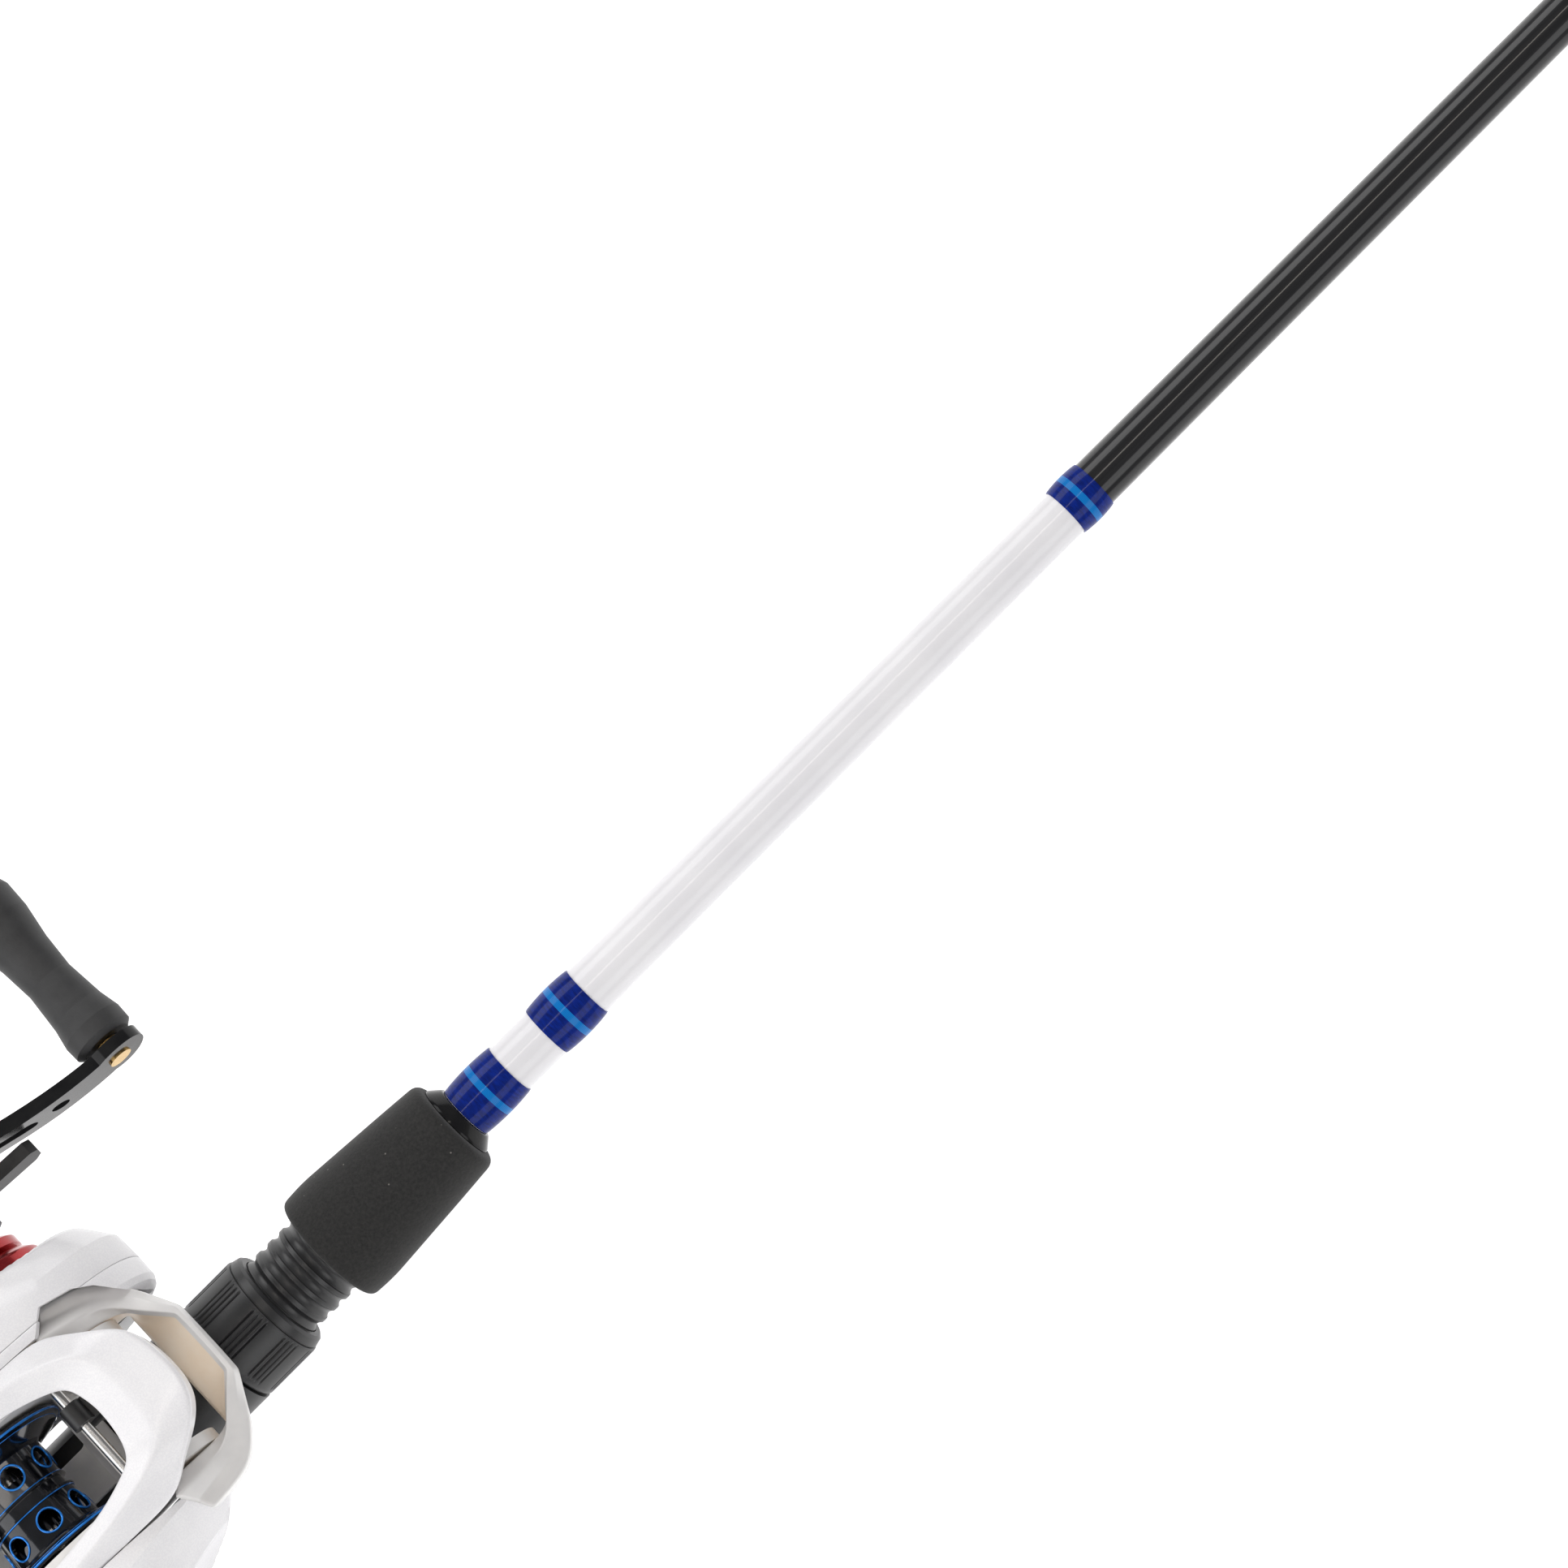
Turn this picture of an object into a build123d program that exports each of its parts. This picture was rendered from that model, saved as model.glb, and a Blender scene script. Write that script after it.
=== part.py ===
"""Casting rod with a low-profile baitcasting reel.

Frame: X runs from the butt to the tip along the blank's axis, Y points to the
handle side of the reel, Z points up through the reel. The origin is the centre
of the butt's end face. All sizes are in millimetres.
"""
from build123d import *
import math
import os

# ---------------------------------------------------------------- rod sizes
ROD_LENGTH = 1981.0
BUTT_CAP_LENGTH = 14.0
GRIP_RADIUS = 14.0
REAR_GRIP_END = 98.0
SEAT_GRIP_START = 196.0
SEAT_START = 236.0
BARREL_END = 306.0
THREAD_END = 365.0
FOREGRIP_START = 365.3
FOREGRIP_END = 401.7
CHECK_END = 405.0
SEAT_BORE = 6.3
SEAT_RADIUS = 12.3
THREAD_CREST = 9.9
THREAD_PITCH = 3.4
HOOD_SLIDER_START = 307.0
HOOD_SLIDER_END = 333.6
NUT_START = 334.0
NUT_END = 350.0
NUT_RADIUS = 12.7
NUT_BORE = 9.98

# blank: (station, outer radius)
BLANK_PROFILE = [(2.0, 6.15), (405.0, 6.0), (731.0, 5.2), (1250.0, 3.2), (1976.0, 0.95)]
WINDINGS = {"winding_rear": (405.1, 418.6, 0.75), "winding_middle": (429.7, 442.4, 0.85),
            "winding_front": (581.6, 590.0, 0.5)}
# guide: (station, ring bore radius, ring centre above the blank's surface, two feet)
GUIDES = [(861.0, 4.6, 12.5, True), (1076.0, 3.9, 11.0, True), (1256.0, 3.4, 9.5, True),
          (1416.0, 3.0, 8.0, False), (1556.0, 2.8, 7.2, False), (1681.0, 2.6, 6.6, False),
          (1791.0, 2.5, 6.2, False), (1891.0, 2.5, 6.0, False)]
FIRST_SMALL_GUIDE = 6
TIP_RING_BORE = 2.4
RING_WALL = 1.0
TIP_RING_HEIGHT = 6.4
KEEPER_DROP = 5.4

# --------------------------------------------------------------- reel sizes
SPOOL_X, SPOOL_Z = 290.0, 28.6
SPOOL_HALF = 12.7
FLANGE_RADIUS = 17.0
DRUM_RADIUS = 10.0
HOLES_PER_ROW = 7
GEAR_MODULE = 0.525
GEAR_TEETH, PINION_TEETH = 72, 10
GEAR_ANGLE = -25.0
WORM_MODULE = 0.5
COG_TEETH, WORM_TEETH = 26, 15
WORM_ANGLE = 51.0
CENTRE = GEAR_MODULE * (GEAR_TEETH + PINION_TEETH) / 2
WORM_CENTRE = WORM_MODULE * (COG_TEETH + WORM_TEETH) / 2
DRIVE_X = SPOOL_X + CENTRE * math.cos(math.radians(GEAR_ANGLE))
DRIVE_Z = SPOOL_Z + CENTRE * math.sin(math.radians(GEAR_ANGLE))
WORM_X = DRIVE_X + WORM_CENTRE * math.cos(math.radians(WORM_ANGLE))
WORM_Z = DRIVE_Z + WORM_CENTRE * math.sin(math.radians(WORM_ANGLE))
BAR_X, BAR_Z, BAR_RADIUS = 312.0, 37.5, 1.15
LINE_Z = 33.0
CARRIER_Y = 5.2
WALL_IN, WALL_OUT = 13.6, 16.3
PLATE_IN, COVER_IN = 16.4, 21.6
GEAR_COVER_OUT = 37.9
PALM_OUT = 36.0
COVER_WALL = 1.6
GEAR_ROOM = 21.5
FOOT_BOTTOM, FOOT_TOP = 8.6, 11.0
FOOT_START, FOOT_END = 253.0, 315.5
FLOOR_END = 306.4
TONGUE_HALF, TONGUE_TOP = 5.4, 10.4
ARM_REACH = 53.8
KNOB_START, KNOB_END = 60.0, 105.5
ARM_HOLE = 38.0
ARM_SLOT = (18.0, 30.0)
STAR_ANGLE = 12.0
FIT = 0.06
SHAFT_RADIUS, SHAFT_END = 3.5, 69.4
PIN_RADIUS, PIN_HEAD = 2.0, 2.6
SPOOL_SHAFT_RADIUS = 1.5
WORM_JOURNAL = 1.6

OUT = "parts"
os.makedirs(OUT, exist_ok=True)


# ------------------------------------------------------------ small helpers
def save(name, shape):
    """Write one sub-part."""
    export_step(shape, f"{OUT}/{name}.step")


def blank_radius(x):
    """Outer radius of the blank at a station."""
    for (x0, r0), (x1, r1) in zip(BLANK_PROFILE, BLANK_PROFILE[1:]):
        if x <= x1:
            return r0 + (r1 - r0) * (x - x0) / (x1 - x0)
    return BLANK_PROFILE[-1][1]


def turned_x(points):
    """Solid of revolution about the rod's axis from (station, radius) points."""
    return revolve(make_face(Polyline(*points, close=True)), axis=Axis.X)


def turned_y(points, x=0.0, z=0.0):
    """Solid of revolution about a line along Y from (y, radius) points."""
    face = make_face(Polyline(*[(r, y) for y, r in points], close=True))
    return Pos(x, 0, z) * revolve(face, axis=Axis.Y)


def cyl_y(radius, y0, y1, x, z):
    """Cylinder along Y."""
    return Pos(x, (y0 + y1) / 2, z) * Rot(90, 0, 0) * Cylinder(radius, abs(y1 - y0))


def cyl_x(radius, x0, x1, y=0.0, z=0.0):
    """Cylinder along X."""
    return Pos((x0 + x1) / 2, y, z) * Rot(0, 90, 0) * Cylinder(radius, x1 - x0)


def block(x0, x1, y0, y1, z0, z1):
    """Box between two corners."""
    return Pos((x0 + x1) / 2, (y0 + y1) / 2, (z0 + z1) / 2) * Box(x1 - x0, y1 - y0, z1 - z0)


def ring_y(outer, inner, y0, y1, x, z):
    """Washer or tube along Y."""
    return cyl_y(outer, y0, y1, x, z) - cyl_y(inner, y0 - 1, y1 + 1, x, z)


def slab(face, y0, y1):
    """Extrude a face drawn in (x, z) between two Y stations."""
    return Pos(0, y1, 0) * extrude(Plane.XZ * face, amount=y1 - y0)


def closed_spline(points, inset=0.0):
    """Smooth closed face through clockwise (x, z) points, moved in by inset."""
    curve = Spline(*points, periodic=True)
    if inset:
        count = 2 * len(points)
        moved = []
        for step in range(count):
            spot, along = curve @ (step / count), curve % (step / count)
            moved.append((spot.X + inset * along.Y, spot.Y - inset * along.X))
        curve = Spline(*moved, periodic=True)
    return make_face(curve)


def polygon(points):
    """Face from straight edges."""
    return make_face(Polyline(*points, close=True))


def rounded_polygon(points, radius):
    """Face from straight edges with every corner rounded."""
    face = polygon(points)
    return fillet(face.vertices(), radius)


def sleeve(x0, x1, r0, r1, inner=None):
    """Conical sleeve on the blank, its bore following the blank's taper."""
    if inner is None:
        inner = (blank_radius(x0), blank_radius(x1))
    return turned_x([(x0, inner[0]), (x0, r0), (x1, r1), (x1, inner[1])])


def gear_face(module, teeth, phase=0.0, root_half=0.27, tip_half=0.10):
    """Toothed disc outline with straight-flanked teeth; the halves are shares of a tooth's step."""
    pitch = module * teeth / 2
    step = 2 * math.pi / teeth
    tip, root = pitch + 0.85 * module, pitch - 1.15 * module
    corners = [(root, -root_half), (tip, -tip_half), (tip, tip_half), (root, root_half)]
    points = []
    for tooth in range(teeth):
        for radius, share in corners:
            angle = phase + (tooth + share) * step
            points.append((radius * math.cos(angle), radius * math.sin(angle)))
    return polygon(points)


def gear(module, teeth, y0, y1, x, z, phase=0.0, **tooth):
    """Spur gear along Y."""
    return Pos(x, 0, z) * slab(gear_face(module, teeth, phase, **tooth), y0, y1)


# --------------------------------------------------------------------- rod
def make_blank():
    """Hollow tapered tube."""
    outer = [(x, r) for x, r in BLANK_PROFILE]
    inner = [(x, max(r - 1.1, r * 0.45)) for x, r in reversed(BLANK_PROFILE)]
    save("blank", turned_x(outer + inner))


def make_grips():
    """Butt cap, foam grips and their trim rings."""
    end = BUTT_CAP_LENGTH
    cap = turned_x([(0, 0), (0, 11.0), (1.5, 12.6), (end - 1, 13.2), (end, 12.6), (end, 6.15), (2.0, 6.15),
                    (2.0, 0)])
    save("butt_cap", cap)
    start = end + 0.1
    rear = turned_x([(start, 6.2), (start, 12.4), (start + 6, GRIP_RADIUS - 0.4), (30.0, GRIP_RADIUS),
                     (62.0, GRIP_RADIUS), (REAR_GRIP_END - 20, 12.4),
                     (REAR_GRIP_END - 5, 11.0), (REAR_GRIP_END, 9.4), (REAR_GRIP_END, 6.2)])
    save("rear_grip", rear)
    trims = [sleeve(REAR_GRIP_END + 0.1, REAR_GRIP_END + 4.0, 8.6, 6.6, (6.2, 6.2))]
    lead = SEAT_GRIP_START
    front = turned_x([(lead, 6.2), (lead, 8.6), (lead + 4, 10.0), (lead + 22, 11.6), (SEAT_START - 4.0, 12.9),
                      (SEAT_START - 0.4, 12.2), (SEAT_START - 0.4, 6.2)])
    save("seat_grip", front)
    trims.append(sleeve(lead - 4.0, lead - 0.1, 6.6, 8.2, (6.2, 6.2)))
    save("grip_trim_rings", Compound(children=trims))

    bore = SEAT_BORE - 0.1
    outline = [(FOREGRIP_START, bore), (FOREGRIP_START, 12.6), (FOREGRIP_START + 4.2, 13.7),
               (FOREGRIP_END - 10, 12.2), (FOREGRIP_END - 2.4, 11.6), (FOREGRIP_END, 9.4), (FOREGRIP_END, bore)]
    save("foregrip", turned_x(outline))
    save("winding_check", sleeve(FOREGRIP_END + 0.1, CHECK_END, 9.2, 6.9, (6.05, 6.05)))


def make_windings():
    """Thread windings at the front of the handle."""
    for name, (x0, x1, height) in WINDINGS.items():
        a, b = blank_radius(x0), blank_radius(x1)
        body = turned_x([(x0, a), (x0, a + 0.25), (x0 + 1.2, a + height), (x1 - 1.2, b + height * 0.9),
                         (x1, b + 0.2), (x1, b)])
        save(name, body)


def make_reel_seat():
    """Trigger seat: barrel with a flat bed, fixed hood, trigger and thread."""
    ridges = []
    station = BARREL_END + 1.5
    while station + THREAD_PITCH < THREAD_END - 1:
        ridges += [(station, 8.9), (station + 0.9, THREAD_CREST), (station + 1.9, THREAD_CREST),
                   (station + 2.8, 8.9)]
        station += THREAD_PITCH
    profile = [(SEAT_START, SEAT_BORE), (SEAT_START, 11.6), (SEAT_START + 3, 12.6), (250.0, 13.4), (262.0, 13.4),
               (264.0, SEAT_RADIUS), (BARREL_END, SEAT_RADIUS), (BARREL_END, 8.9)]
    profile += ridges + [(THREAD_END, 8.9), (THREAD_END, SEAT_BORE)]
    body = turned_x(profile)
    body -= block(262.0, BARREL_END + 0.01, -20, 20, FOOT_BOTTOM, 20)
    body -= block(FOOT_START - 1.0, 264.1, -TONGUE_HALF - 0.3, TONGUE_HALF + 0.3, FOOT_BOTTOM, TONGUE_TOP + 0.3)
    body -= block(BARREL_END - 0.01, FOOT_END + 0.5, -TONGUE_HALF - 0.6, TONGUE_HALF + 0.6, FOOT_BOTTOM, 20)
    side = polygon([(264, -10), (286, -10), (281, -17), (276, -25), (272, -31.5), (269.5, -31.5), (269.6, -24)])
    finger = slab(side, -4.2, 4.2)
    finger = fillet(finger.edges().filter_by(lambda e: e.center().Z < -12 and abs(e.center().Y) > 4), 1.4)
    body += finger - cyl_x(SEAT_BORE + 1, 230, 300)
    save("reel_seat", body)


def make_lock():
    """Sliding hood that clamps the reel's foot, and the nut that drives it."""
    a, b = HOOD_SLIDER_START, HOOD_SLIDER_END
    hood = turned_x([(a, 10.2), (a, 12.5), (a + 2, 12.8), (b, 12.8), (b, 10.2)])
    side = TONGUE_HALF + 0.3
    hood -= block(a - 1, FOOT_END + 0.3, -side, side, FOOT_BOTTOM - 0.3, TONGUE_TOP + 0.3)
    save("seat_hood", hood)

    nut = turned_x([(NUT_START, NUT_BORE), (NUT_START, 12.4), (NUT_START + 0.8, NUT_RADIUS),
                    (NUT_END - 2.6, NUT_RADIUS), (NUT_END, 11.6), (NUT_END, NUT_BORE)])
    groups = 9
    for group in range(groups):
        for rib in range(4):
            turn = group * 360 / groups + (rib - 1.5) * 5.2
            groove = block(NUT_START + 1.6, NUT_END - 4.4, -0.28, 0.28, NUT_RADIUS - 0.45, NUT_RADIUS + 1)
            nut -= Rot(turn, 0, 0) * groove
    save("lock_nut", nut)


# ------------------------------------------------------------------ guides
def strut(start, end, radius):
    """Straight round wire between two points."""
    line = Line(start, end)
    plane = Plane(origin=start, z_dir=Vector(*end) - Vector(*start))
    return extrude(plane * Circle(radius), amount=line.length)


def ceramic_ring(bore, x, z):
    """Line ring with a short straight land and eased edges."""
    rim = bore + RING_WALL
    land, half = 0.6, 1.0
    section = [(-land, bore), (land, bore), (half, bore + 0.35), (half, rim), (-half, rim),
               (-half, bore + 0.35)]
    return Pos(x, 0, z) * turned_x(section)


def make_guides():
    """Guide frames, their ceramic rings and the thread wraps over their feet."""
    rings, wraps, small_frames = [], [], []
    for number, (x, bore, rise, two_feet) in enumerate(GUIDES, start=1):
        surface = blank_radius(x)
        height = surface + rise
        holder = bore + RING_WALL
        rim = holder + 0.75
        frame = cyl_x(rim, x - 0.8, x + 0.8, 0, height)
        wire = 0.55 if rise < 8 else 0.75
        reach = rise * 1.25 + 4
        spread = holder * 0.62
        for side in (-1, 1):
            low = (x + reach, side * 0.9, surface + 0.45)
            frame += strut((x, side * spread, height - holder * 0.72), low, wire)
        frame += block(x + reach - 1.2, x + reach + 9, -1.5, 1.5, surface + 0.02, surface + 0.9)
        starts = [(x + reach + 1.6, x + reach + 10.2)]
        if two_feet:
            frame += strut((x, 0, height - rim + 0.3), (x - reach * 0.8, 0, surface + 0.45), wire)
            frame += block(x - reach * 0.8 - 9, x - reach * 0.8 + 1.2, -1.3, 1.3, surface + 0.02, surface + 0.9)
            starts.append((x - reach * 0.8 - 10.2, x - reach * 0.8 - 1.6))
        blank_here = sleeve(x - 40, x + 40, 0.0, 0.0)
        frame -= blank_here if two_feet else sleeve(x - 10, x + 40, 0.0, 0.0)
        frame -= cyl_x(holder, x - 3, x + 3, 0, height)
        if number < FIRST_SMALL_GUIDE:
            save(f"guide_frame_{number}", frame)
        else:
            small_frames.append(frame)
        rings.append(ceramic_ring(bore, x, height))
        for a, b in starts:
            ra, rb = blank_radius(a), blank_radius(b)
            foot = block(a - 1, b + 1, -1.5, 1.5, surface - 3, surface + 0.95)
            wrap = turned_x([(a, ra + 0.02), (a, ra + 0.35), (a + 1, ra + 1.25), (b - 1, rb + 1.25),
                             (b, rb + 0.35), (b, rb + 0.02)])
            wraps.append(wrap - foot)
    save("guide_frames_tip", Compound(children=small_frames))
    rings.append(ceramic_ring(TIP_RING_BORE, ROD_LENGTH - 1.0, TIP_RING_HEIGHT))
    save("guide_rings", Compound(children=rings))
    save("guide_wraps", Compound(children=wraps))


def make_tip():
    """Tip top: a tube over the blank's end that carries the last ring."""
    end = ROD_LENGTH - 3.0
    bore = blank_radius(end - 14) + 0.01
    tube = turned_x([(end - 14, bore), (end - 14, 1.6), (end - 1, 1.6), (end, 1.1), (end, 0), (end - 1.5, 0),
                     (end - 1.5, bore)])
    outer = TIP_RING_BORE + RING_WALL + 0.6
    x, z = ROD_LENGTH - 1.0, TIP_RING_HEIGHT
    frame = cyl_x(outer, x - 0.8, x + 0.8, 0, z)
    frame += tube
    for side in (-1, 1):
        frame += strut((end - 11, side * 0.8, 1.0), (x, side * 2.4, z - 2.6), 0.45)
    frame += strut((end - 2, 0, 0.9), (x, 0, z - outer + 0.4), 0.5)
    frame -= cyl_x(TIP_RING_BORE + RING_WALL, x - 3, x + 3, 0, z)
    frame -= sleeve(end - 15, end - 1.5, 0.0, 0.0)
    save("tip_top_frame", frame)


def make_hook_keeper():
    """Small wire loop under the blank for the hook, held by one winding."""
    x0, x1 = 418.8, 429.5
    top = -blank_radius(424) - 0.5
    low = top - KEEPER_DROP
    path = FilletPolyline((x0, 0, top), (x0 + 1.0, 0, top), (x0 + 1.9, 0, low), (x1 - 1.9, 0, low),
                          (x1 - 1.0, 0, top), (x1, 0, top), radius=0.45)
    wire = sweep(Plane(origin=path @ 0, z_dir=path % 0) * Circle(0.4), path=path)
    save("hook_keeper", wire)


# ------------------------------------------------------------ reel housing
FRAME_SIDE = [(327, 24), (320, 13.5), (304, 9.2), (284, 9.2), (268, 12), (262, 22), (262.5, 34), (272, 43),
              (286, 47), (297, 46.2), (310, 42.2), (322, 36.5)]
GEAR_SIDE = [(339.3, 19.5), (335, 8.5), (323, 0.6), (309, -2.2), (292, 2), (275, 10), (263, 21), (261, 33),
             (270, 43), (287, 47.4), (305, 45.0), (321, 39.5), (333, 31)]
PALM_SIDE = [(326, 25), (320, 14), (304, 8.5), (286, 8.5), (270, 14), (261, 25), (262, 36), (272, 44),
             (288, 47.4), (304, 44.5), (318, 37)]
LOOP_PLAN = [(312, 26), (321, 26.4), (331, 23.4), (335, 18.6), (337.6, 13.8), (339, 7)]
LOOP_SIDE = [(315, 41.1), (322, 37.8), (331, 30.5), (339.2, 24.6), (339.2, 20), (333, 13.4), (326.5, 13.4),
             (319, 20), (315, 28)]
HOOD_PLAN = [(271, 21.4), (316.5, 21.4), (325, 15.8), (330.5, 11.8), (333, 8.5), (334, 2.5)]
HOOD_TOP = [(271, 44.5), (278, 48.4), (290, 49.6), (302, 48.8), (314, 45.6), (324, 41.4), (334.5, 36.2)]
HOOD_SKIRT = 41.4
UNDER_COVER = 41.0


def mirrored(points):
    """Close an outline given for y > 0 by its mirror image."""
    return points + [(x, -y) for x, y in reversed(points)]


def loop_prism(clearance=0.0):
    """Space in plan that the front loop's outer face encloses."""
    face = polygon(mirrored([(300, 26 + clearance)] + [(x + clearance, y + clearance) for x, y in LOOP_PLAN]))
    return Pos(0, 0, 12) * extrude(face, amount=40)


def loop_room(clearance=0.25):
    """Room that the housings leave for the front loop."""
    side = [(314.8, 60), (314.8, 27.5), (318.8, 19.6), (326.3, 13.1), (345, 13.1), (345, 60)]
    return loop_prism(clearance) & slab(polygon(side), -40, 40)


def front_loop():
    """Faceted silver nose of the frame with the line ramp."""
    ring = extrude(polygon(mirrored(LOOP_PLAN)), amount=60)
    inside = polygon(mirrored([(300, 17.0), (330, 16.8), (330.5, 12.5), (327.2, 12.4)]))
    ring -= extrude(inside, amount=60)
    ring &= slab(polygon(LOOP_SIDE), -40, 40)
    mouth = extrude(polygon(mirrored([(320, 16.8), (330, 16.4), (337.4, 8)])), amount=60)
    ramp = slab(polygon([(337.4, 60), (337.4, 24.2), (327.2, 14.6), (320, 14.6), (320, 60)]), -40, 40)
    return ring - (mouth & ramp)


def make_reel_frame():
    """Side walls, floor and foot in one casting, and the cowl in front of it."""
    side = closed_spline(FRAME_SIDE)
    left = slab(side, WALL_IN, WALL_OUT)
    right = slab(side, -WALL_OUT, -WALL_IN)
    right -= cyl_y(FLANGE_RADIUS + 0.4, -20, -10, SPOOL_X, SPOOL_Z)
    left -= cyl_y(5.0, 10, 20, SPOOL_X, SPOOL_Z)
    frame = left + right
    frame += block(268, FLOOR_END, -WALL_IN, WALL_IN, FOOT_TOP - 1.6, FOOT_TOP)
    frame += block(263.4, FLOOR_END, -8.0, 8.0, FOOT_BOTTOM, FOOT_TOP)
    frame += block(FOOT_START, FOOT_END, -TONGUE_HALF, TONGUE_HALF, FOOT_BOTTOM, TONGUE_TOP)
    pillar = block(303.5, FLOOR_END, -WALL_IN, WALL_IN, FOOT_TOP - 1.0, 14.0)
    pillar += block(303.5, 308.6, -WALL_IN, WALL_IN, 13.2, 26.5)
    frame += pillar - cyl_y(FLANGE_RADIUS + 0.6, -30, 30, SPOOL_X, SPOOL_Z)
    frame += block(262.8, 266.0, -WALL_IN, WALL_IN, 18.0, 24.0)
    for y0, y1 in ((5.0, 12.6), (-12.6, -5.0)):
        opening = rounded_polygon([(291, y0), (302.5, y0), (302.5, y1), (291, y1)], 2.0)
        frame -= extrude(Pos(0, 0, 5) * opening, amount=10)
    frame -= cyl_y(BAR_RADIUS, -15.4, 15.4, BAR_X, BAR_Z)
    frame -= cyl_y(WORM_JOURNAL + FIT, -15.6, 25, WORM_X, WORM_Z)
    frame -= block(FOOT_START - 1, FOOT_END + 30, -30, 30, -20, FOOT_BOTTOM)
    save("reel_frame", frame)

    bridge = slab(polygon(LOOP_SIDE), WALL_OUT + 0.02, 17.5) & block(300, 331, 0, 30, 0, 60)
    cowl = front_loop() - cyl_y(GEAR_ROOM, 17.5, 40, DRIVE_X, DRIVE_Z)
    cowl += bridge + mirror(bridge, about=Plane.XZ)
    save("front_cowl", cowl - cyl_y(WORM_JOURNAL + FIT, 0, 25, WORM_X, WORM_Z))


def hood_solid(inset):
    """Closed body under the hood's outer skin, moved in by inset."""
    plan = polygon(mirrored(HOOD_PLAN))
    if inset:
        plan = offset(plan, amount=-inset, kind=Kind.INTERSECTION)
    body = Pos(0, 0, 30) * extrude(plan, amount=40)
    top = [(x, z - inset) for x, z in HOOD_TOP]
    body &= slab(polygon(top + [(334.5, 30), (271, 30)]), -30, 30)
    shoulders = [(-30, 30), (-30, 38 - inset), (-21.4, 44 - inset), (-17.2, 49.7 - inset), (17.2, 49.7 - inset),
                 (21.4, 44 - inset), (30, 38 - inset), (30, 30)]
    body &= Pos(260, 0, 0) * extrude(Plane.YZ * polygon(shoulders), amount=90)
    return body


def make_hood():
    """White hood over the level wind, open above the spool."""
    hood = hood_solid(0.0) - hood_solid(1.9)
    hood -= block(260, 317, -30, 30, 30, HOOD_SKIRT)
    lower = [(310, 20), (310, HOOD_SKIRT), (317, HOOD_SKIRT), (326, 36.4), (336, 35.3), (336, 20)]
    hood -= slab(polygon(lower), -30, 30)
    window = [(262, 14.2), (300, 14.0), (309.5, 11.5), (314.5, 9.0), (316.6, 4.5)]
    hood -= Pos(0, 0, 25) * extrude(rounded_polygon(mirrored(window), 1.5), amount=40)
    hood -= slab(closed_spline(FRAME_SIDE, -0.15), -17.6, -13.0)
    hood -= slab(closed_spline(FRAME_SIDE, -0.15), 13.0, 17.6)
    save("top_hood", hood)


def cover(outline, y_near, y_far, crown):
    """Outer shell body: side outline with a crowned far face."""
    near, far = abs(y_near), abs(y_far)
    face = closed_spline(outline)
    body = slab(face, near, far)
    plan = [(250, near), (345, near)] + crown[::-1]
    body &= Pos(0, 0, -20) * extrude(polygon(plan), amount=100)
    return body if y_far > 0 else mirror(body, about=Plane.XZ)


GEAR_CROWN = [(250, 27), (262, 33.5), (278, 37.4), (322, 37.9), (329, 37.0), (337, 30.5), (345, 24)]
PALM_CROWN = [(250, 25), (262, 31), (276, 35.6), (296, 36.0), (310, 33.0), (330, 25)]


def make_gear_housing():
    """Base plate beside the frame and outer cover over the drive train."""
    base = slab(closed_spline(GEAR_SIDE), PLATE_IN, COVER_IN - 0.1)
    base -= slab(closed_spline(GEAR_SIDE, COVER_WALL), PLATE_IN + 1.2, COVER_IN + 1)
    base &= block(250, 345, 0, 40, -10, UNDER_COVER)
    room = loop_room()
    beside_gear = room - cyl_y(GEAR_ROOM - 0.3, 17.7, 45, DRIVE_X, DRIVE_Z)
    base -= beside_gear
    base -= cyl_y(4.0, 10, 20, SPOOL_X, SPOOL_Z)
    base -= cyl_y(4.2, 10, 20, DRIVE_X, DRIVE_Z)
    base -= cyl_y(2.0, 10, 20, WORM_X, WORM_Z)
    base -= hood_solid(-0.2) & block(260, 345, 10, 30, HOOD_SKIRT - 0.2, 60)
    save("gear_base_plate", base)

    outer = cover(GEAR_SIDE, COVER_IN, GEAR_COVER_OUT, GEAR_CROWN)
    hollow = slab(closed_spline(GEAR_SIDE, COVER_WALL), COVER_IN - 1, 31.0)
    hollow += cyl_y(17.0, 30, 35.6, DRIVE_X, DRIVE_Z)
    outer -= hollow
    outer += ring_y(9.4, 7.0, 30.5, 36.2, DRIVE_X, DRIVE_Z)
    outer += ring_y(6.5, 3.4, 31.0, 34.0, SPOOL_X, SPOOL_Z)
    outer -= cyl_y(4.6, 25, 45, DRIVE_X, DRIVE_Z)
    outer -= cyl_y(3.4, 25, 45, SPOOL_X, SPOOL_Z)
    outer -= beside_gear
    save("gear_side_cover", outer)


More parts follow.
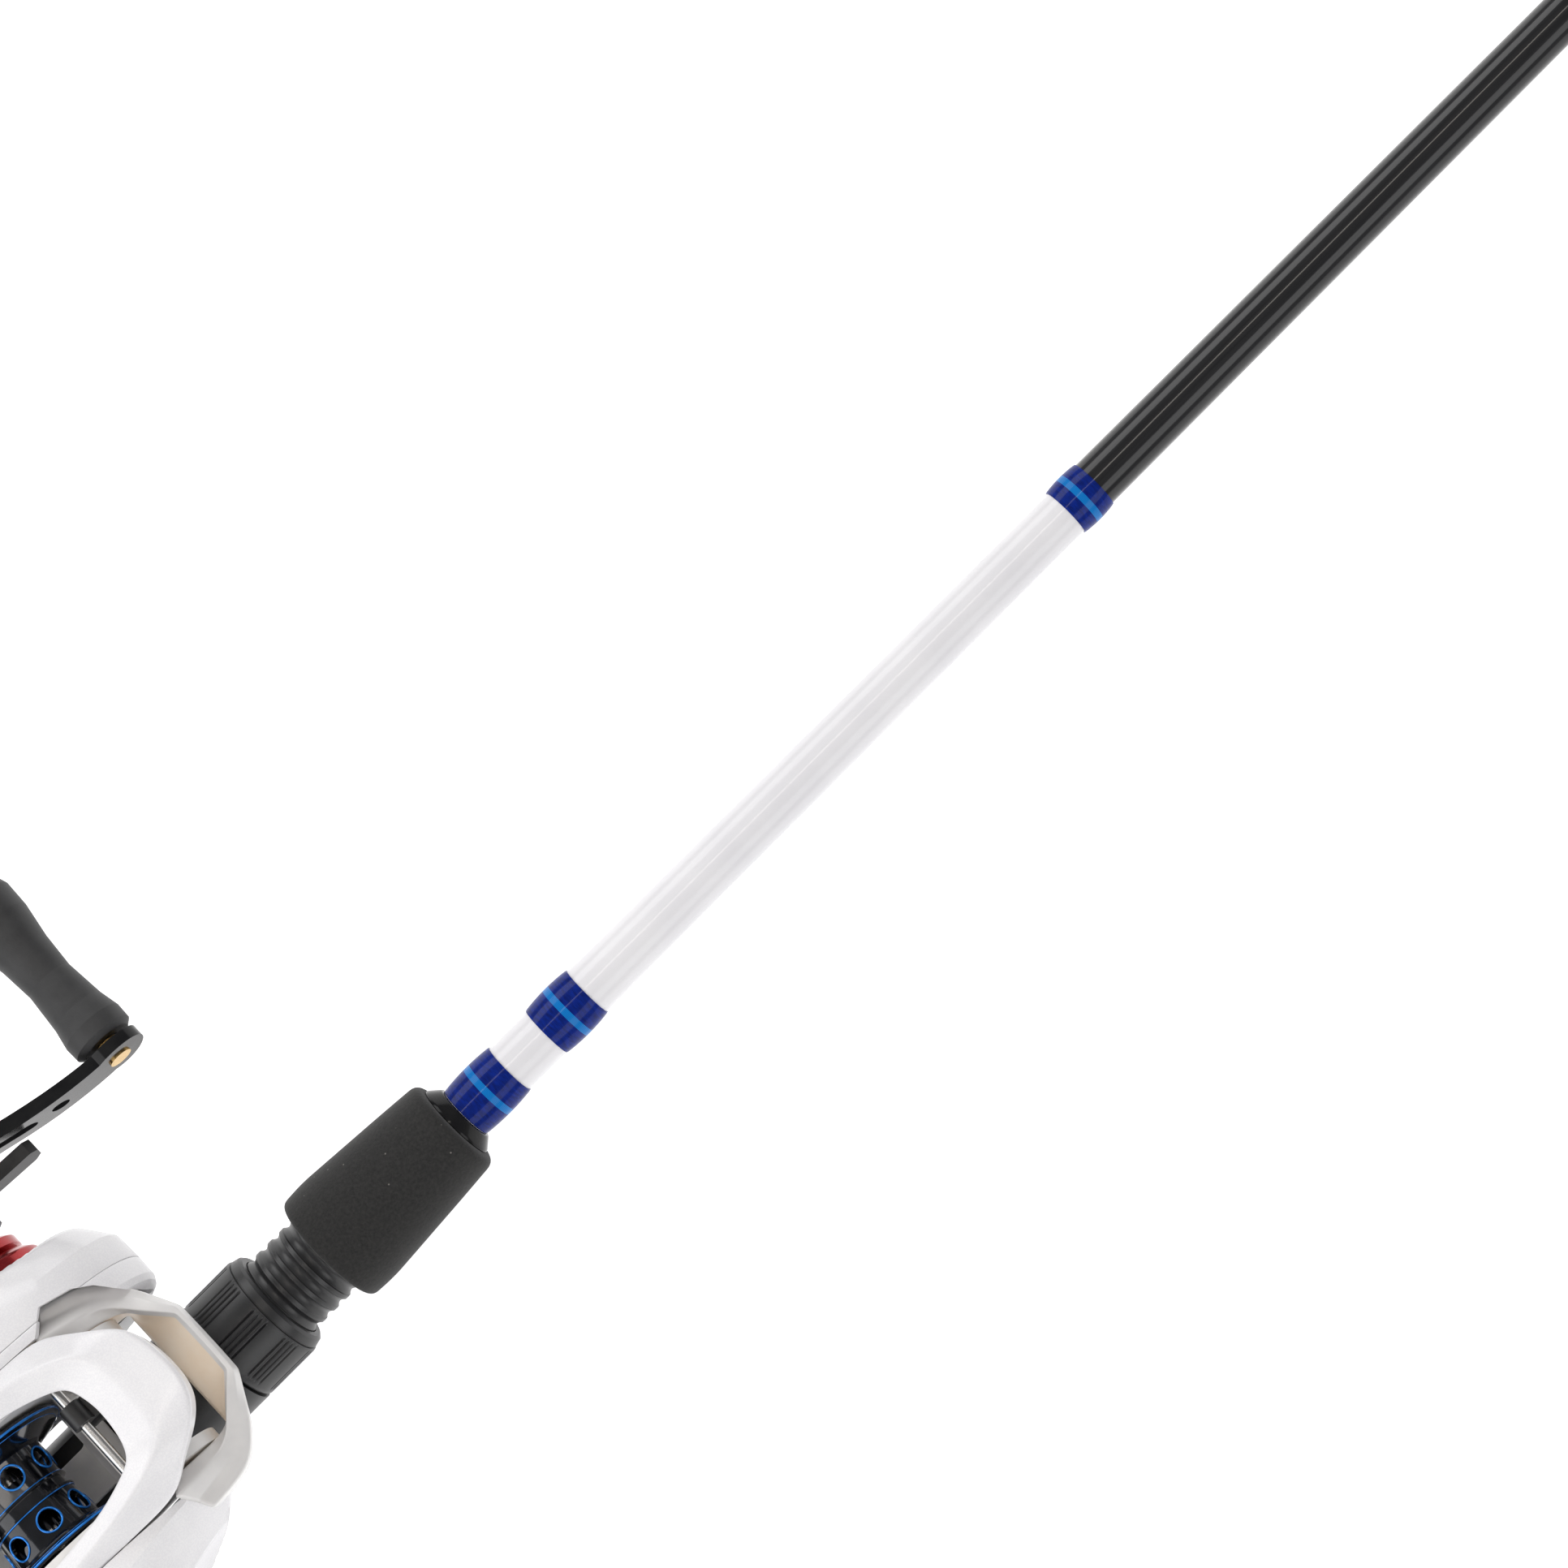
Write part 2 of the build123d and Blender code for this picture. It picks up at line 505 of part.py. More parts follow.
def make_palm_plate():
    """Shell on the palm side, with the hub that carries the spool's end."""
    shell = cover(PALM_SIDE, -COVER_IN, -PALM_OUT, PALM_CROWN)
    hollow = slab(closed_spline(PALM_SIDE, COVER_WALL), -30.0, -COVER_IN + 1)
    shell -= hollow
    skirt = slab(closed_spline(PALM_SIDE), -COVER_IN, -PLATE_IN)
    skirt -= slab(closed_spline(PALM_SIDE, COVER_WALL), -COVER_IN - 1, -PLATE_IN + 1)
    skirt &= block(250, 345, -40, 0, -10, UNDER_COVER)
    shell += skirt
    shell -= loop_room()
    shell += ring_y(6.0, 3.5, -30.5, -21.0, SPOOL_X, SPOOL_Z)
    shell -= cyl_y(8.3, -40, -32.4, SPOOL_X, SPOOL_Z)
    shell -= cyl_y(3.3, -34, -28, SPOOL_X, SPOOL_Z)
    save("palm_side_plate", shell)


# ------------------------------------------------------- spool and controls
def make_spool():
    """Perforated spool, its shaft, rotor and bearings."""
    half = SPOOL_HALF
    outer = [(half, FLANGE_RADIUS), (half - 0.9, FLANGE_RADIUS), (half - 1.5, 15.6),
             (half - 3.0, DRUM_RADIUS + 0.8), (half - 3.6, DRUM_RADIUS), (1.9, DRUM_RADIUS - 0.6),
             (1.6, DRUM_RADIUS - 0.2), (1.2, DRUM_RADIUS - 0.2), (1.1, DRUM_RADIUS - 1.0)]
    inner = [(half, 15.9), (half - 1.2, 14.6), (half - 2.6, DRUM_RADIUS - 0.8), (0.9, DRUM_RADIUS - 1.8),
             (0.9, 3.4), (6.0, 3.4), (6.0, 2.4)]
    points = outer + [(-y, r) for y, r in reversed(outer)]
    points += [(-y, r) for y, r in inner] + [(y, r) for y, r in reversed(inner)]
    spool = turned_y(points, SPOOL_X, SPOOL_Z)
    for row in (-5.7, 5.7):
        for number in range(HOLES_PER_ROW):
            turn = 25.0 + number * 360 / HOLES_PER_ROW
            drill = Rot(0, turn, 0) * Pos(0, row, 10) * Cylinder(2.35, 6)
            spool -= Pos(SPOOL_X, 0, SPOOL_Z) * drill
    save("spool", spool)
    thin = SPOOL_SHAFT_RADIUS
    shaft = turned_y([(-27.5, 0), (-27.5, thin), (-8, thin), (-8, 2.4), (8, 2.4), (8, thin), (36.4, thin),
                      (36.4, 0)], SPOOL_X, SPOOL_Z)
    save("spool_shaft", shaft)
    save("brake_rotor", ring_y(9.6, thin, -16.0, -14.6, SPOOL_X, SPOOL_Z))
    bearing_palm = ring_y(3.5, thin + FIT, -25.0, -22.6, SPOOL_X, SPOOL_Z)
    bearing_gear = ring_y(3.4, thin + FIT, 31.2, 33.6, SPOOL_X, SPOOL_Z)
    bearing_pinion = ring_y(4.0, 3.0 + FIT, 16.4, 18.4, SPOOL_X, SPOOL_Z)
    save("ball_bearings", Compound(children=[bearing_palm, bearing_gear, bearing_pinion]))
    magnets = ring_y(10.5, 6.2, -21.0, -18.0, SPOOL_X, SPOOL_Z)
    for number in range(8):
        drill = Rot(0, number * 45.0, 0) * Pos(0, -18.0, 8.35) * Rot(90, 0, 0) * Cylinder(1.5, 1.6)
        magnets -= Pos(SPOOL_X, 0, SPOOL_Z) * drill
    arms = block(SPOOL_X - 1.2, SPOOL_X + 1.2, -30.0, -19.0, SPOOL_Z - 9.6, SPOOL_Z - 6.4)
    save("brake_magnet_ring", magnets + arms)
    dial = cyl_y(8.0, -37.2, -32.8, SPOOL_X, SPOOL_Z) + cyl_y(3.0, -32.8, -30.8, SPOOL_X, SPOOL_Z)
    for number in range(18):
        rib = Rot(0, number * 20.0, 0) * Pos(0, -36.6, 8.0) * Box(0.7, 2.0, 0.7)
        dial -= Pos(SPOOL_X, 0, SPOOL_Z) * rib
    save("brake_dial", dial)
    cap = turned_y([(38.2, 1.9), (38.2, 6.0), (39.4, 6.6), (40.6, 7.9), (43.4, 7.9), (44.4, 7.0), (44.4, 0),
                    (42.6, 0), (42.6, 5.0), (38.8, 5.0), (38.8, 1.9)], SPOOL_X, SPOOL_Z)
    for number in range(16):
        rib = Rot(0, number * 22.5, 0) * Pos(0, 42.2, 7.9) * Box(0.8, 2.4, 0.7)
        cap -= Pos(SPOOL_X, 0, SPOOL_Z) * rib
    save("tension_cap", cap)


def make_drive():
    """Drive gear, pinion, shafts, drag stack and roller bearing."""
    phase = math.radians(GEAR_ANGLE)
    step = 2 * math.pi / GEAR_TEETH
    gear_phase = phase + math.pi
    body = gear(GEAR_MODULE, GEAR_TEETH, 19.9, 23.4, DRIVE_X, DRIVE_Z, gear_phase + step / 2)
    body -= cyl_y(13.4, 21.4, 24, DRIVE_X, DRIVE_Z)
    body -= cyl_y(3.5, 15, 25, DRIVE_X, DRIVE_Z)
    for number in range(6):
        drill = Rot(0, number * 60.0, 0) * Pos(0, 21, 9.0) * Rot(90, 0, 0) * Cylinder(2.2, 8)
        body -= Pos(DRIVE_X, 0, DRIVE_Z) * drill
    save("drive_gear", body)

    pinion = gear(GEAR_MODULE, PINION_TEETH, 19.0, 26.0, SPOOL_X, SPOOL_Z, phase,
                  root_half=0.235, tip_half=0.07)
    pinion += cyl_y(3.0, 16.6, 19.0, SPOOL_X, SPOOL_Z) + cyl_y(3.0, 28.6, 29.8, SPOOL_X, SPOOL_Z)
    pinion += cyl_y(2.1, 26.0, 28.6, SPOOL_X, SPOOL_Z) + cyl_y(3.0, 26.0, 27.2, SPOOL_X, SPOOL_Z)
    pinion -= cyl_y(SPOOL_SHAFT_RADIUS + FIT, 10, 35, SPOOL_X, SPOOL_Z)
    save("pinion", pinion)

    yoke = block(SPOOL_X - 11, SPOOL_X + 3.4, 27.35, 28.45, SPOOL_Z + 1.6, SPOOL_Z + 4.6)
    yoke += block(SPOOL_X - 11, SPOOL_X + 3.4, 27.35, 28.45, SPOOL_Z - 4.6, SPOOL_Z - 1.6)
    yoke += block(SPOOL_X - 11, SPOOL_X - 5, 27.35, 28.45, SPOOL_Z - 8, SPOOL_Z + 8)
    yoke -= cyl_y(2.1 + FIT, 26, 30, SPOOL_X, SPOOL_Z)
    for side in (-1, 1):
        yoke -= cyl_y(1.0 + FIT, 25, 30, SPOOL_X - 8, SPOOL_Z + side * 6.2)
    save("clutch_yoke", yoke)
    posts = [cyl_y(1.0, 17.6, 30.9, SPOOL_X - 8, SPOOL_Z + side * 6.2) for side in (-1, 1)]
    save("yoke_posts", Compound(children=posts))

    shaft = turned_y([(16.6, 0), (16.6, 3.0), (18.05, 3.0), (18.05, SHAFT_RADIUS), (SHAFT_END, SHAFT_RADIUS),
                      (SHAFT_END, 0)], DRIVE_X, DRIVE_Z)
    save("drive_shaft", shaft)
    save("shaft_bushing", ring_y(4.2, 3.0 + FIT, 16.4, 17.9, DRIVE_X, DRIVE_Z))
    cog_phase = math.radians(WORM_ANGLE)
    cog_step = 2 * math.pi / COG_TEETH
    cog = gear(WORM_MODULE, COG_TEETH, 18.1, 19.5, DRIVE_X, DRIVE_Z, cog_phase + cog_step / 2)
    save("level_wind_cog", cog - cyl_y(3.5, 15, 25, DRIVE_X, DRIVE_Z))
    washers = [ring_y(13.0, 3.5, y, y + 0.9, DRIVE_X, DRIVE_Z) for y in (21.5, 22.6, 23.7)]
    save("drag_washers", Compound(children=washers))
    save("drag_pressure_plate", ring_y(12.6, 3.5, 24.8, 26.6, DRIVE_X, DRIVE_Z))
    bearing = ring_y(7.0, 3.5 + FIT, 30.6, 35.6, DRIVE_X, DRIVE_Z)
    save("anti_reverse_bearing", bearing)

    worm_gear = gear(WORM_MODULE, WORM_TEETH, 18.1, 19.5, WORM_X, WORM_Z, cog_phase + math.pi)
    save("worm_gear", worm_gear - cyl_y(WORM_JOURNAL, 15, 25, WORM_X, WORM_Z))
    worm = cyl_y(2.2, -13.2, 13.2, WORM_X, WORM_Z) + cyl_y(WORM_JOURNAL, -15.4, 19.6, WORM_X, WORM_Z)
    save("worm_shaft", worm)


def make_level_wind():
    """Carrier that lays the line, its ceramic eye and the polished bar."""
    y = CARRIER_Y
    body = cyl_y(2.35, y - 2.5, y + 2.5, BAR_X, BAR_Z)
    body += cyl_y(3.5, y - 2.5, y + 2.5, WORM_X, WORM_Z)
    body += block(311.2, 317.4, y - 2.5, y + 2.5, 29.5, 37.0)
    body += cyl_x(3.3, 312, 320.6, y, LINE_Z)
    body -= cyl_y(BAR_RADIUS + FIT, y - 4, y + 4, BAR_X, BAR_Z)
    body -= cyl_y(2.2 + FIT, y - 4, y + 4, WORM_X, WORM_Z)
    body -= cyl_x(2.3, 305, 325, y, LINE_Z)
    body -= cyl_x(2.8, 318.6, 325, y, LINE_Z)
    save("line_carrier", body)
    eye = cyl_x(2.8, 318.6, 321.0, y, LINE_Z) - cyl_x(1.9, 315, 325, y, LINE_Z)
    save("line_eye", eye)
    save("guide_bar", cyl_y(BAR_RADIUS, -15.4, 15.4, BAR_X, BAR_Z))


def make_thumb_bar():
    """Clutch bar behind the spool."""
    outline = [(262.8, 30), (263.4, 37), (267.5, 39.6), (271.2, 37.2), (271.6, 34.5), (268.6, 30)]
    side = rounded_polygon(outline, 0.9)
    bar = slab(side, -12.9, 12.9)
    bar -= cyl_y(FLANGE_RADIUS + 0.8, -20, 20, SPOOL_X, SPOOL_Z)
    save("thumb_bar", bar)


# ------------------------------------------------------------------ handle
def make_star():
    """Drag boss, click plate and star wheel."""
    boss = turned_y([(37.95, 5.0), (37.95, 14.6), (42.2, 9.6), (42.2, 5.0)], DRIVE_X, DRIVE_Z)
    save("drag_boss", boss)
    hole = SHAFT_RADIUS + FIT
    plate = turned_y([(42.6, hole), (42.6, 11.2), (43.6, 12.4), (45.6, 12.4), (46.6, 11.2), (46.6, hole)],
                     DRIVE_X, DRIVE_Z)
    save("drag_click_plate", plate)
    star = cyl_y(8.6, 46.7, 58.2, DRIVE_X, DRIVE_Z)
    arm = polygon([(0, -4.6), (14, -3.2), (26.0, -3.5), (27.6, -1.9), (27.6, 1.9), (26.0, 3.5), (14, 3.2),
                   (0, 4.6)])
    for number in range(5):
        star += Pos(DRIVE_X, 0, DRIVE_Z) * Rot(0, STAR_ANGLE + number * 72.0, 0) * slab(arm, 55.4, 58.4)
    star -= cyl_y(SHAFT_RADIUS + FIT, 40, 60, DRIVE_X, DRIVE_Z)
    save("star_drag", star)


def make_handle():
    """Swept handle arm, its nut, the knobs and their pins."""
    reach = ARM_REACH
    far = [(0, 66.4), (12, 66.0), (28, 62.6), (42, 59.8), (reach + 6.6, 58.8)]
    near = [(reach + 6.6, 56.2), (42, 56.9), (28, 59.4), (12, 62.8), (0, 63.2)]
    edge_far = Spline(*[(-x, y) for x, y in reversed(far)], *far[1:])
    edge_near = Spline(*near, *[(-x, y) for x, y in reversed(near[:-1])])
    ends = [Line(edge_far @ 1, edge_near @ 0), Line(edge_near @ 1, edge_far @ 0)]
    bow = make_face([edge_far, ends[0], edge_near, ends[1]])
    arm = Pos(0, 0, -15) * extrude(bow, amount=30)
    outline = polygon([(-reach, -5.4), (-14, -7.0), (14, -7.0), (reach, -5.4), (reach, 5.4), (14, 7.0),
                       (-14, 7.0), (-reach, 5.4)])
    plan = slab(outline, 40, 80)
    for side in (-1, 1):
        plan += cyl_y(6.4, 40, 80, side * reach, 0)
    arm &= plan
    arm = Pos(DRIVE_X, 0, DRIVE_Z) * arm
    arm -= cyl_y(SHAFT_RADIUS, 50, 70, DRIVE_X, DRIVE_Z)
    wide = 2.1
    for side in (-1, 1):
        arm -= cyl_y(PIN_RADIUS, 50, 70, DRIVE_X + side * reach, DRIVE_Z)
        arm -= cyl_y(PIN_HEAD + 0.05, 50, 56.35, DRIVE_X + side * reach, DRIVE_Z)
        arm -= cyl_y(wide, 50, 75, DRIVE_X + side * ARM_HOLE, DRIVE_Z)
        ends = [cyl_y(wide, 50, 75, side * place, 0) for place in ARM_SLOT]
        middle = block(-6.0, 6.0, 50, 75, -wide, wide)
        slot = ends[0] + ends[1] + Pos(side * sum(ARM_SLOT) / 2, 0, 0) * middle
        arm -= Pos(DRIVE_X, 0, DRIVE_Z) * slot
    save("handle_arm", arm)
    nut = slab(RegularPolygon(6.2, 6), 66.5, 70.4)
    nut -= cyl_y(SHAFT_RADIUS, 60, SHAFT_END, 0, 0)
    save("handle_nut", Pos(DRIVE_X, 0, DRIVE_Z) * nut)

    pins = []
    for name, side in (("knob_front", 1), ("knob_rear", -1)):
        x = DRIVE_X + side * reach
        a, b = KNOB_START, KNOB_END
        profile = [(a, PIN_RADIUS + FIT), (a, 5.6), (a + 1.2, 6.9), (a + 4.5, 7.0), (a + 9, 6.1), (a + 18, 5.3),
                   (a + 26, 5.9), (a + 34, 7.2), (a + 40, 7.4), (a + 43.8, 6.2), (b, 4.2), (b, PIN_RADIUS + FIT)]
        save(name, turned_y(profile, x, DRIVE_Z))
        pin = cyl_y(PIN_RADIUS, 56.0, KNOB_END - 1, x, DRIVE_Z) + cyl_y(PIN_HEAD, 55.6, 56.3, x, DRIVE_Z)
        pin += cyl_y(3.0, KNOB_START - 0.8, KNOB_START - 0.2, x, DRIVE_Z)
        pins.append(pin)
    save("knob_pins", Compound(children=pins))


make_blank()
make_grips()
make_windings()
make_reel_seat()
make_lock()
make_guides()
make_tip()
make_hook_keeper()
make_reel_frame()
make_hood()
make_gear_housing()
make_palm_plate()
make_spool()
make_drive()
make_level_wind()
make_thumb_bar()
make_star()
make_handle()
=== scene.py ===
import math

import bmesh
import bpy
from mathutils import Matrix, Vector


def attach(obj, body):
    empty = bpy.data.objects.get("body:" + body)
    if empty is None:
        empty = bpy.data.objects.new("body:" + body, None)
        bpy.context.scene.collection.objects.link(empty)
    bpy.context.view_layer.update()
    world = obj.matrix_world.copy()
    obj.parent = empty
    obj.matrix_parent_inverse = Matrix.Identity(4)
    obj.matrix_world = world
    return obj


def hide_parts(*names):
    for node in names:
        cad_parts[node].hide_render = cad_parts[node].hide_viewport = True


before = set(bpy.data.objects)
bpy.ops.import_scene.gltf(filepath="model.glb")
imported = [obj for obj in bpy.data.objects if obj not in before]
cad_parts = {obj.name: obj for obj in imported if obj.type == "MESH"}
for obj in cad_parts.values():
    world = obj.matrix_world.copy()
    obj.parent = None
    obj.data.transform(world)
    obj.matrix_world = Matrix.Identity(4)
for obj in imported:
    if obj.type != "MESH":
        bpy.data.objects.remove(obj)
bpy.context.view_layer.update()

MM = 0.001

# ---------------------------------------------------------------- camera, lights and floor

TILT = math.radians(10.7)  # the camera leans this far from straight above, towards -Y
DISTANCE = 0.7288
AIM = (0.500, 0.0015)  # station along the rod, and shift across it
LENS, SENSOR_WIDTH = 80.1, 36.0
LIGHT_SPAN = 2.8  # the side boxes run the length of the rod
WORLD_STRENGTH = 0.27
FLOOR_Z = -0.050
FLOOR_SIDE = 6.0  # from the middle to an edge
FLOOR_GLOW = 0.55

axis = Vector((1, 0, 0))
toward = Vector((0, -math.sin(TILT), math.cos(TILT)))
across = Vector((0, -math.cos(TILT), -math.sin(TILT)))
right = (axis + across).normalized()
up = (axis - across).normalized()
place = Vector((AIM[0], 0, 0)) + DISTANCE * toward - AIM[1] * across

camera_data = bpy.data.cameras.new("camera")
camera_data.lens = LENS
camera_data.sensor_width = SENSOR_WIDTH
camera_data.clip_start = 0.01
camera = bpy.data.objects.new("camera", camera_data)
camera.matrix_world = Matrix(
    (
        (right.x, up.x, toward.x, place.x),
        (right.y, up.y, toward.y, place.y),
        (right.z, up.z, toward.z, place.z),
        (0, 0, 0, 1),
    )
)
bpy.context.scene.collection.objects.link(camera)
bpy.context.scene.camera = camera
bpy.context.scene.view_settings.view_transform = "Standard"


def area_light(name, where, target, size, power, colour=(1, 1, 1)):
    """Rectangular light at a place, turned towards a target."""
    data = bpy.data.lights.new(name, "AREA")
    data.shape = "RECTANGLE"
    data.size, data.size_y = size
    data.energy = power
    data.color = colour
    lamp = bpy.data.objects.new(name, data)
    lamp.location = where
    lamp.rotation_euler = (Vector(target) - Vector(where)).to_track_quat("-Z", "Y").to_euler()
    bpy.context.scene.collection.objects.link(lamp)


area_light("softbox_left", (0.45, 1.5, 1.0), (0.45, 0, 0), (LIGHT_SPAN, 0.9), 21)
area_light("softbox_right", (0.45, -1.5, 1.0), (0.45, 0, 0), (LIGHT_SPAN, 0.9), 14.5)
area_light("softbox_butt", (-0.75, 0, 0.85), (0.33, 0, 0.02), (1.2, 1.0), 7.5)
area_light("strip_top", (0.7, 0.10, 1.5), (0.7, 0, 0), (2.4, 0.12), 4.5, (1.0, 0.93, 0.85))

world = bpy.data.worlds.new("studio")
world.use_nodes = True
bpy.context.scene.world = world
world.node_tree.nodes["Background"].inputs["Color"].default_value = (0.97, 0.98, 1.0, 1)
world.node_tree.nodes["Background"].inputs["Strength"].default_value = WORLD_STRENGTH


# ---------------------------------------------------------------- materials


class Paint:
    """A material under construction: a Principled shader, and the nodes that feed it."""

    def __init__(self, name, **sockets):
        self.material = bpy.data.materials.new(name)
        self.material.use_nodes = True
        self.tree = self.material.node_tree
        self.shader = self.tree.nodes["Principled BSDF"]
        self.place = self.tree.nodes.new("ShaderNodeTexCoord").outputs["Object"]
        for socket, value in sockets.items():
            self.shader.inputs[socket.replace("_", " ")].default_value = value

    def link(self, source, socket):
        """Feed a socket of the shader."""
        self.tree.links.new(source, self.shader.inputs[socket])

    def stretched(self, scale):
        """Object coordinates scaled along each axis."""
        node = self.tree.nodes.new("ShaderNodeMapping")
        node.inputs["Scale"].default_value = scale
        self.tree.links.new(self.place, node.inputs["Vector"])
        return node.outputs["Vector"]

    def noise(self, period, detail=3.0, rough=0.55, vector=None):
        """Noise whose features are about period metres across."""
        node = self.tree.nodes.new("ShaderNodeTexNoise")
        node.inputs["Scale"].default_value = 1.0 / period
        node.inputs["Detail"].default_value = detail
        node.inputs["Roughness"].default_value = rough
        self.tree.links.new(vector or self.place, node.inputs["Vector"])
        return node.outputs["Fac"]

    def specks(self, period):
        """Distance to scattered points about period metres apart."""
        node = self.tree.nodes.new("ShaderNodeTexVoronoi")
        node.inputs["Scale"].default_value = 1.0 / period
        self.tree.links.new(self.place, node.inputs["Vector"])
        return node.outputs["Distance"]

    def waves(self, period):
        """Even ribs across the rod, period metres apart."""
        node = self.tree.nodes.new("ShaderNodeTexWave")
        node.bands_direction = "X"
        node.inputs["Scale"].default_value = 2 * math.pi / (20 * period)
        self.tree.links.new(self.place, node.inputs["Vector"])
        return node.outputs["Fac"]

    def component(self, letter):
        """One of the object coordinates."""
        node = self.tree.nodes.new("ShaderNodeSeparateXYZ")
        self.tree.links.new(self.place, node.inputs["Vector"])
        return node.outputs[letter]

    def scaled(self, value, low, high):
        """A value from 0 to 1 spread from low to high."""
        node = self.tree.nodes.new("ShaderNodeMapRange")
        node.inputs["To Min"].default_value = low
        node.inputs["To Max"].default_value = high
        self.tree.links.new(value, node.inputs["Value"])
        return node.outputs["Result"]

    def span(self, value, start, end):
        """0 at start and 1 at end of a value."""
        node = self.tree.nodes.new("ShaderNodeMapRange")
        node.inputs["From Min"].default_value = start
        node.inputs["From Max"].default_value = end
        self.tree.links.new(value, node.inputs["Value"])
        return node.outputs["Result"]

    def ramp(self, value, stops):
        """Colour from a value, through stops of (value, colour)."""
        node = self.tree.nodes.new("ShaderNodeValToRGB")
        elements = node.color_ramp.elements
        while len(elements) < len(stops):
            elements.new(0.5)
        for element, (position, colour) in zip(elements, stops):
            element.position = position
            element.color = (*colour, 1)
        self.tree.links.new(value, node.inputs["Fac"])
        return node.outputs["Color"]

    def mix(self, factor, first, second, mode="MIX"):
        """Two colours blended; each argument is a constant or a node's output."""
        node = self.tree.nodes.new("ShaderNodeMix")
        node.data_type = "RGBA"
        node.blend_type = mode
        for socket, value in ((0, factor), (6, first), (7, second)):
            if isinstance(value, (int, float)):
                node.inputs[socket].default_value = value
            elif isinstance(value, tuple):
                node.inputs[socket].default_value = (*value, 1)
            else:
                self.tree.links.new(value, node.inputs[socket])
        return node.outputs[2]

    def reckon(self, operation, first, second=0.0):
        """One Math node; each argument is a constant or a node's output."""
        node = self.tree.nodes.new("ShaderNodeMath")
        node.operation = operation
        for socket, value in enumerate((first, second)):
            if isinstance(value, (int, float)):
                node.inputs[socket].default_value = value
            else:
                self.tree.links.new(value, node.inputs[socket])
        return node.outputs["Value"]

    def bump(self, height, distance, strength):
        """Relief from a height, distance metres deep."""
        node = self.tree.nodes.new("ShaderNodeBump")
        node.inputs["Distance"].default_value = distance
        node.inputs["Strength"].default_value = strength
        self.tree.links.new(height, node.inputs["Height"])
        self.tree.links.new(node.outputs["Normal"], self.shader.inputs["Normal"])


def finish_of(name, dark, light, patch, rough, grain, height, **sockets):
    """A finish with soft colour patches, roughness that varies a little, and a fine grain in relief."""
    paint = Paint(name, **sockets)
    patches = paint.noise(patch, 4.0)
    paint.link(paint.ramp(patches, [(0.3, dark), (0.7, light)]), "Base Color")
    paint.link(paint.scaled(patches, rough[0], rough[1]), "Roughness")
    paint.bump(paint.noise(grain, 2.0), height, 0.6)
    return paint.material


def pearl_paint(name, low, high):
    """White pearl lacquer: fine flakes, faint pink and blue patches, a clear coat."""
    paint = Paint(name, Coat_Weight=0.35, Coat_Roughness=0.12, IOR=1.42)
    patches = paint.noise(0.012, 2.0)
    body = paint.ramp(patches, [(0.35, low), (0.65, high)])
    flakes = paint.ramp(paint.noise(0.00035, 2.0), [(0.42, (0.94, 0.94, 0.95)), (0.6, (1, 1, 1))])
    paint.link(paint.mix(1.0, body, flakes, "MULTIPLY"), "Base Color")
    paint.link(paint.scaled(patches, 0.30, 0.42), "Roughness")
    paint.bump(paint.noise(0.0008, 2.0), 0.000006, 0.5)
    return paint.material


def blank_paint(name, change, band):
    """Pearl white up to a station, gloss black beyond it, both under one clear coat."""
    paint = Paint(name, Coat_Weight=0.6, Coat_Roughness=0.04, IOR=1.3, Specular_IOR_Level=0.3)
    white = paint.ramp(paint.noise(0.02, 2.0), [(0.35, (0.77, 0.76, 0.785)), (0.65, (0.81, 0.80, 0.82))])
    streaks = paint.noise(0.0006, 3.0, vector=paint.stretched((0.02, 1, 1)))
    black = paint.ramp(streaks, [(0.35, (0.008, 0.008, 0.009)), (0.7, (0.014, 0.014, 0.015))])
    edge = paint.span(paint.component("X"), change, change + band)
    paint.link(paint.mix(edge, white, black), "Base Color")
    paint.link(paint.scaled(paint.noise(0.004), 0.26, 0.36), "Roughness")
    paint.bump(paint.noise(0.003, 2.0), 0.00002, 0.3)
    return paint.material


def thread_wrap(name, dark, light, band=None, centres=(), width=0.0):
    """Metallic thread wound tight under clear epoxy, with trim bands of a second colour."""
    paint = Paint(name, Coat_Weight=0.25, Coat_Roughness=0.03, IOR=1.25, Specular_IOR_Level=0.2)
    turns = paint.waves(0.00028)
    glitter = paint.noise(0.0005, 2.0, vector=paint.stretched((1, 0.25, 0.25)))
    thread = paint.ramp(glitter, [(0.3, dark), (0.75, light)])
    station = paint.component("X")
    for centre in centres:
        offset = paint.reckon("ABSOLUTE", paint.reckon("SUBTRACT", station, centre))
        inside = paint.reckon("LESS_THAN", offset, width / 2)
        thread = paint.mix(inside, thread, band)
    shade = paint.ramp(paint.scaled(turns, 0.75, 1.0), [(0.7, (0.7, 0.7, 0.7)), (1.0, (1, 1, 1))])
    paint.link(paint.mix(1.0, thread, shade, "MULTIPLY"), "Base Color")
    paint.link(paint.scaled(glitter, 0.25, 0.4), "Roughness")
    paint.bump(turns, 0.00003, 0.3)
    return paint.material


def foam(name):
    """Closed-cell foam: fine pores, a few pale specks."""
    paint = Paint(name, Specular_IOR_Level=0.25, Sheen_Weight=0.12, Sheen_Roughness=0.5)
    pores = paint.noise(0.0007, 4.0, 0.7)
    body = paint.ramp(pores, [(0.3, (0.014, 0.014, 0.014)), (0.72, (0.034, 0.033, 0.032))])
    dots = paint.ramp(paint.specks(0.004), [(0.03, (1, 1, 1)), (0.06, (0, 0, 0))])
    paint.link(paint.mix(dots, body, (0.16, 0.15, 0.14)), "Base Color")
    paint.link(paint.scaled(pores, 0.75, 0.95), "Roughness")
    paint.bump(pores, 0.00012, 0.7)
    return paint.material


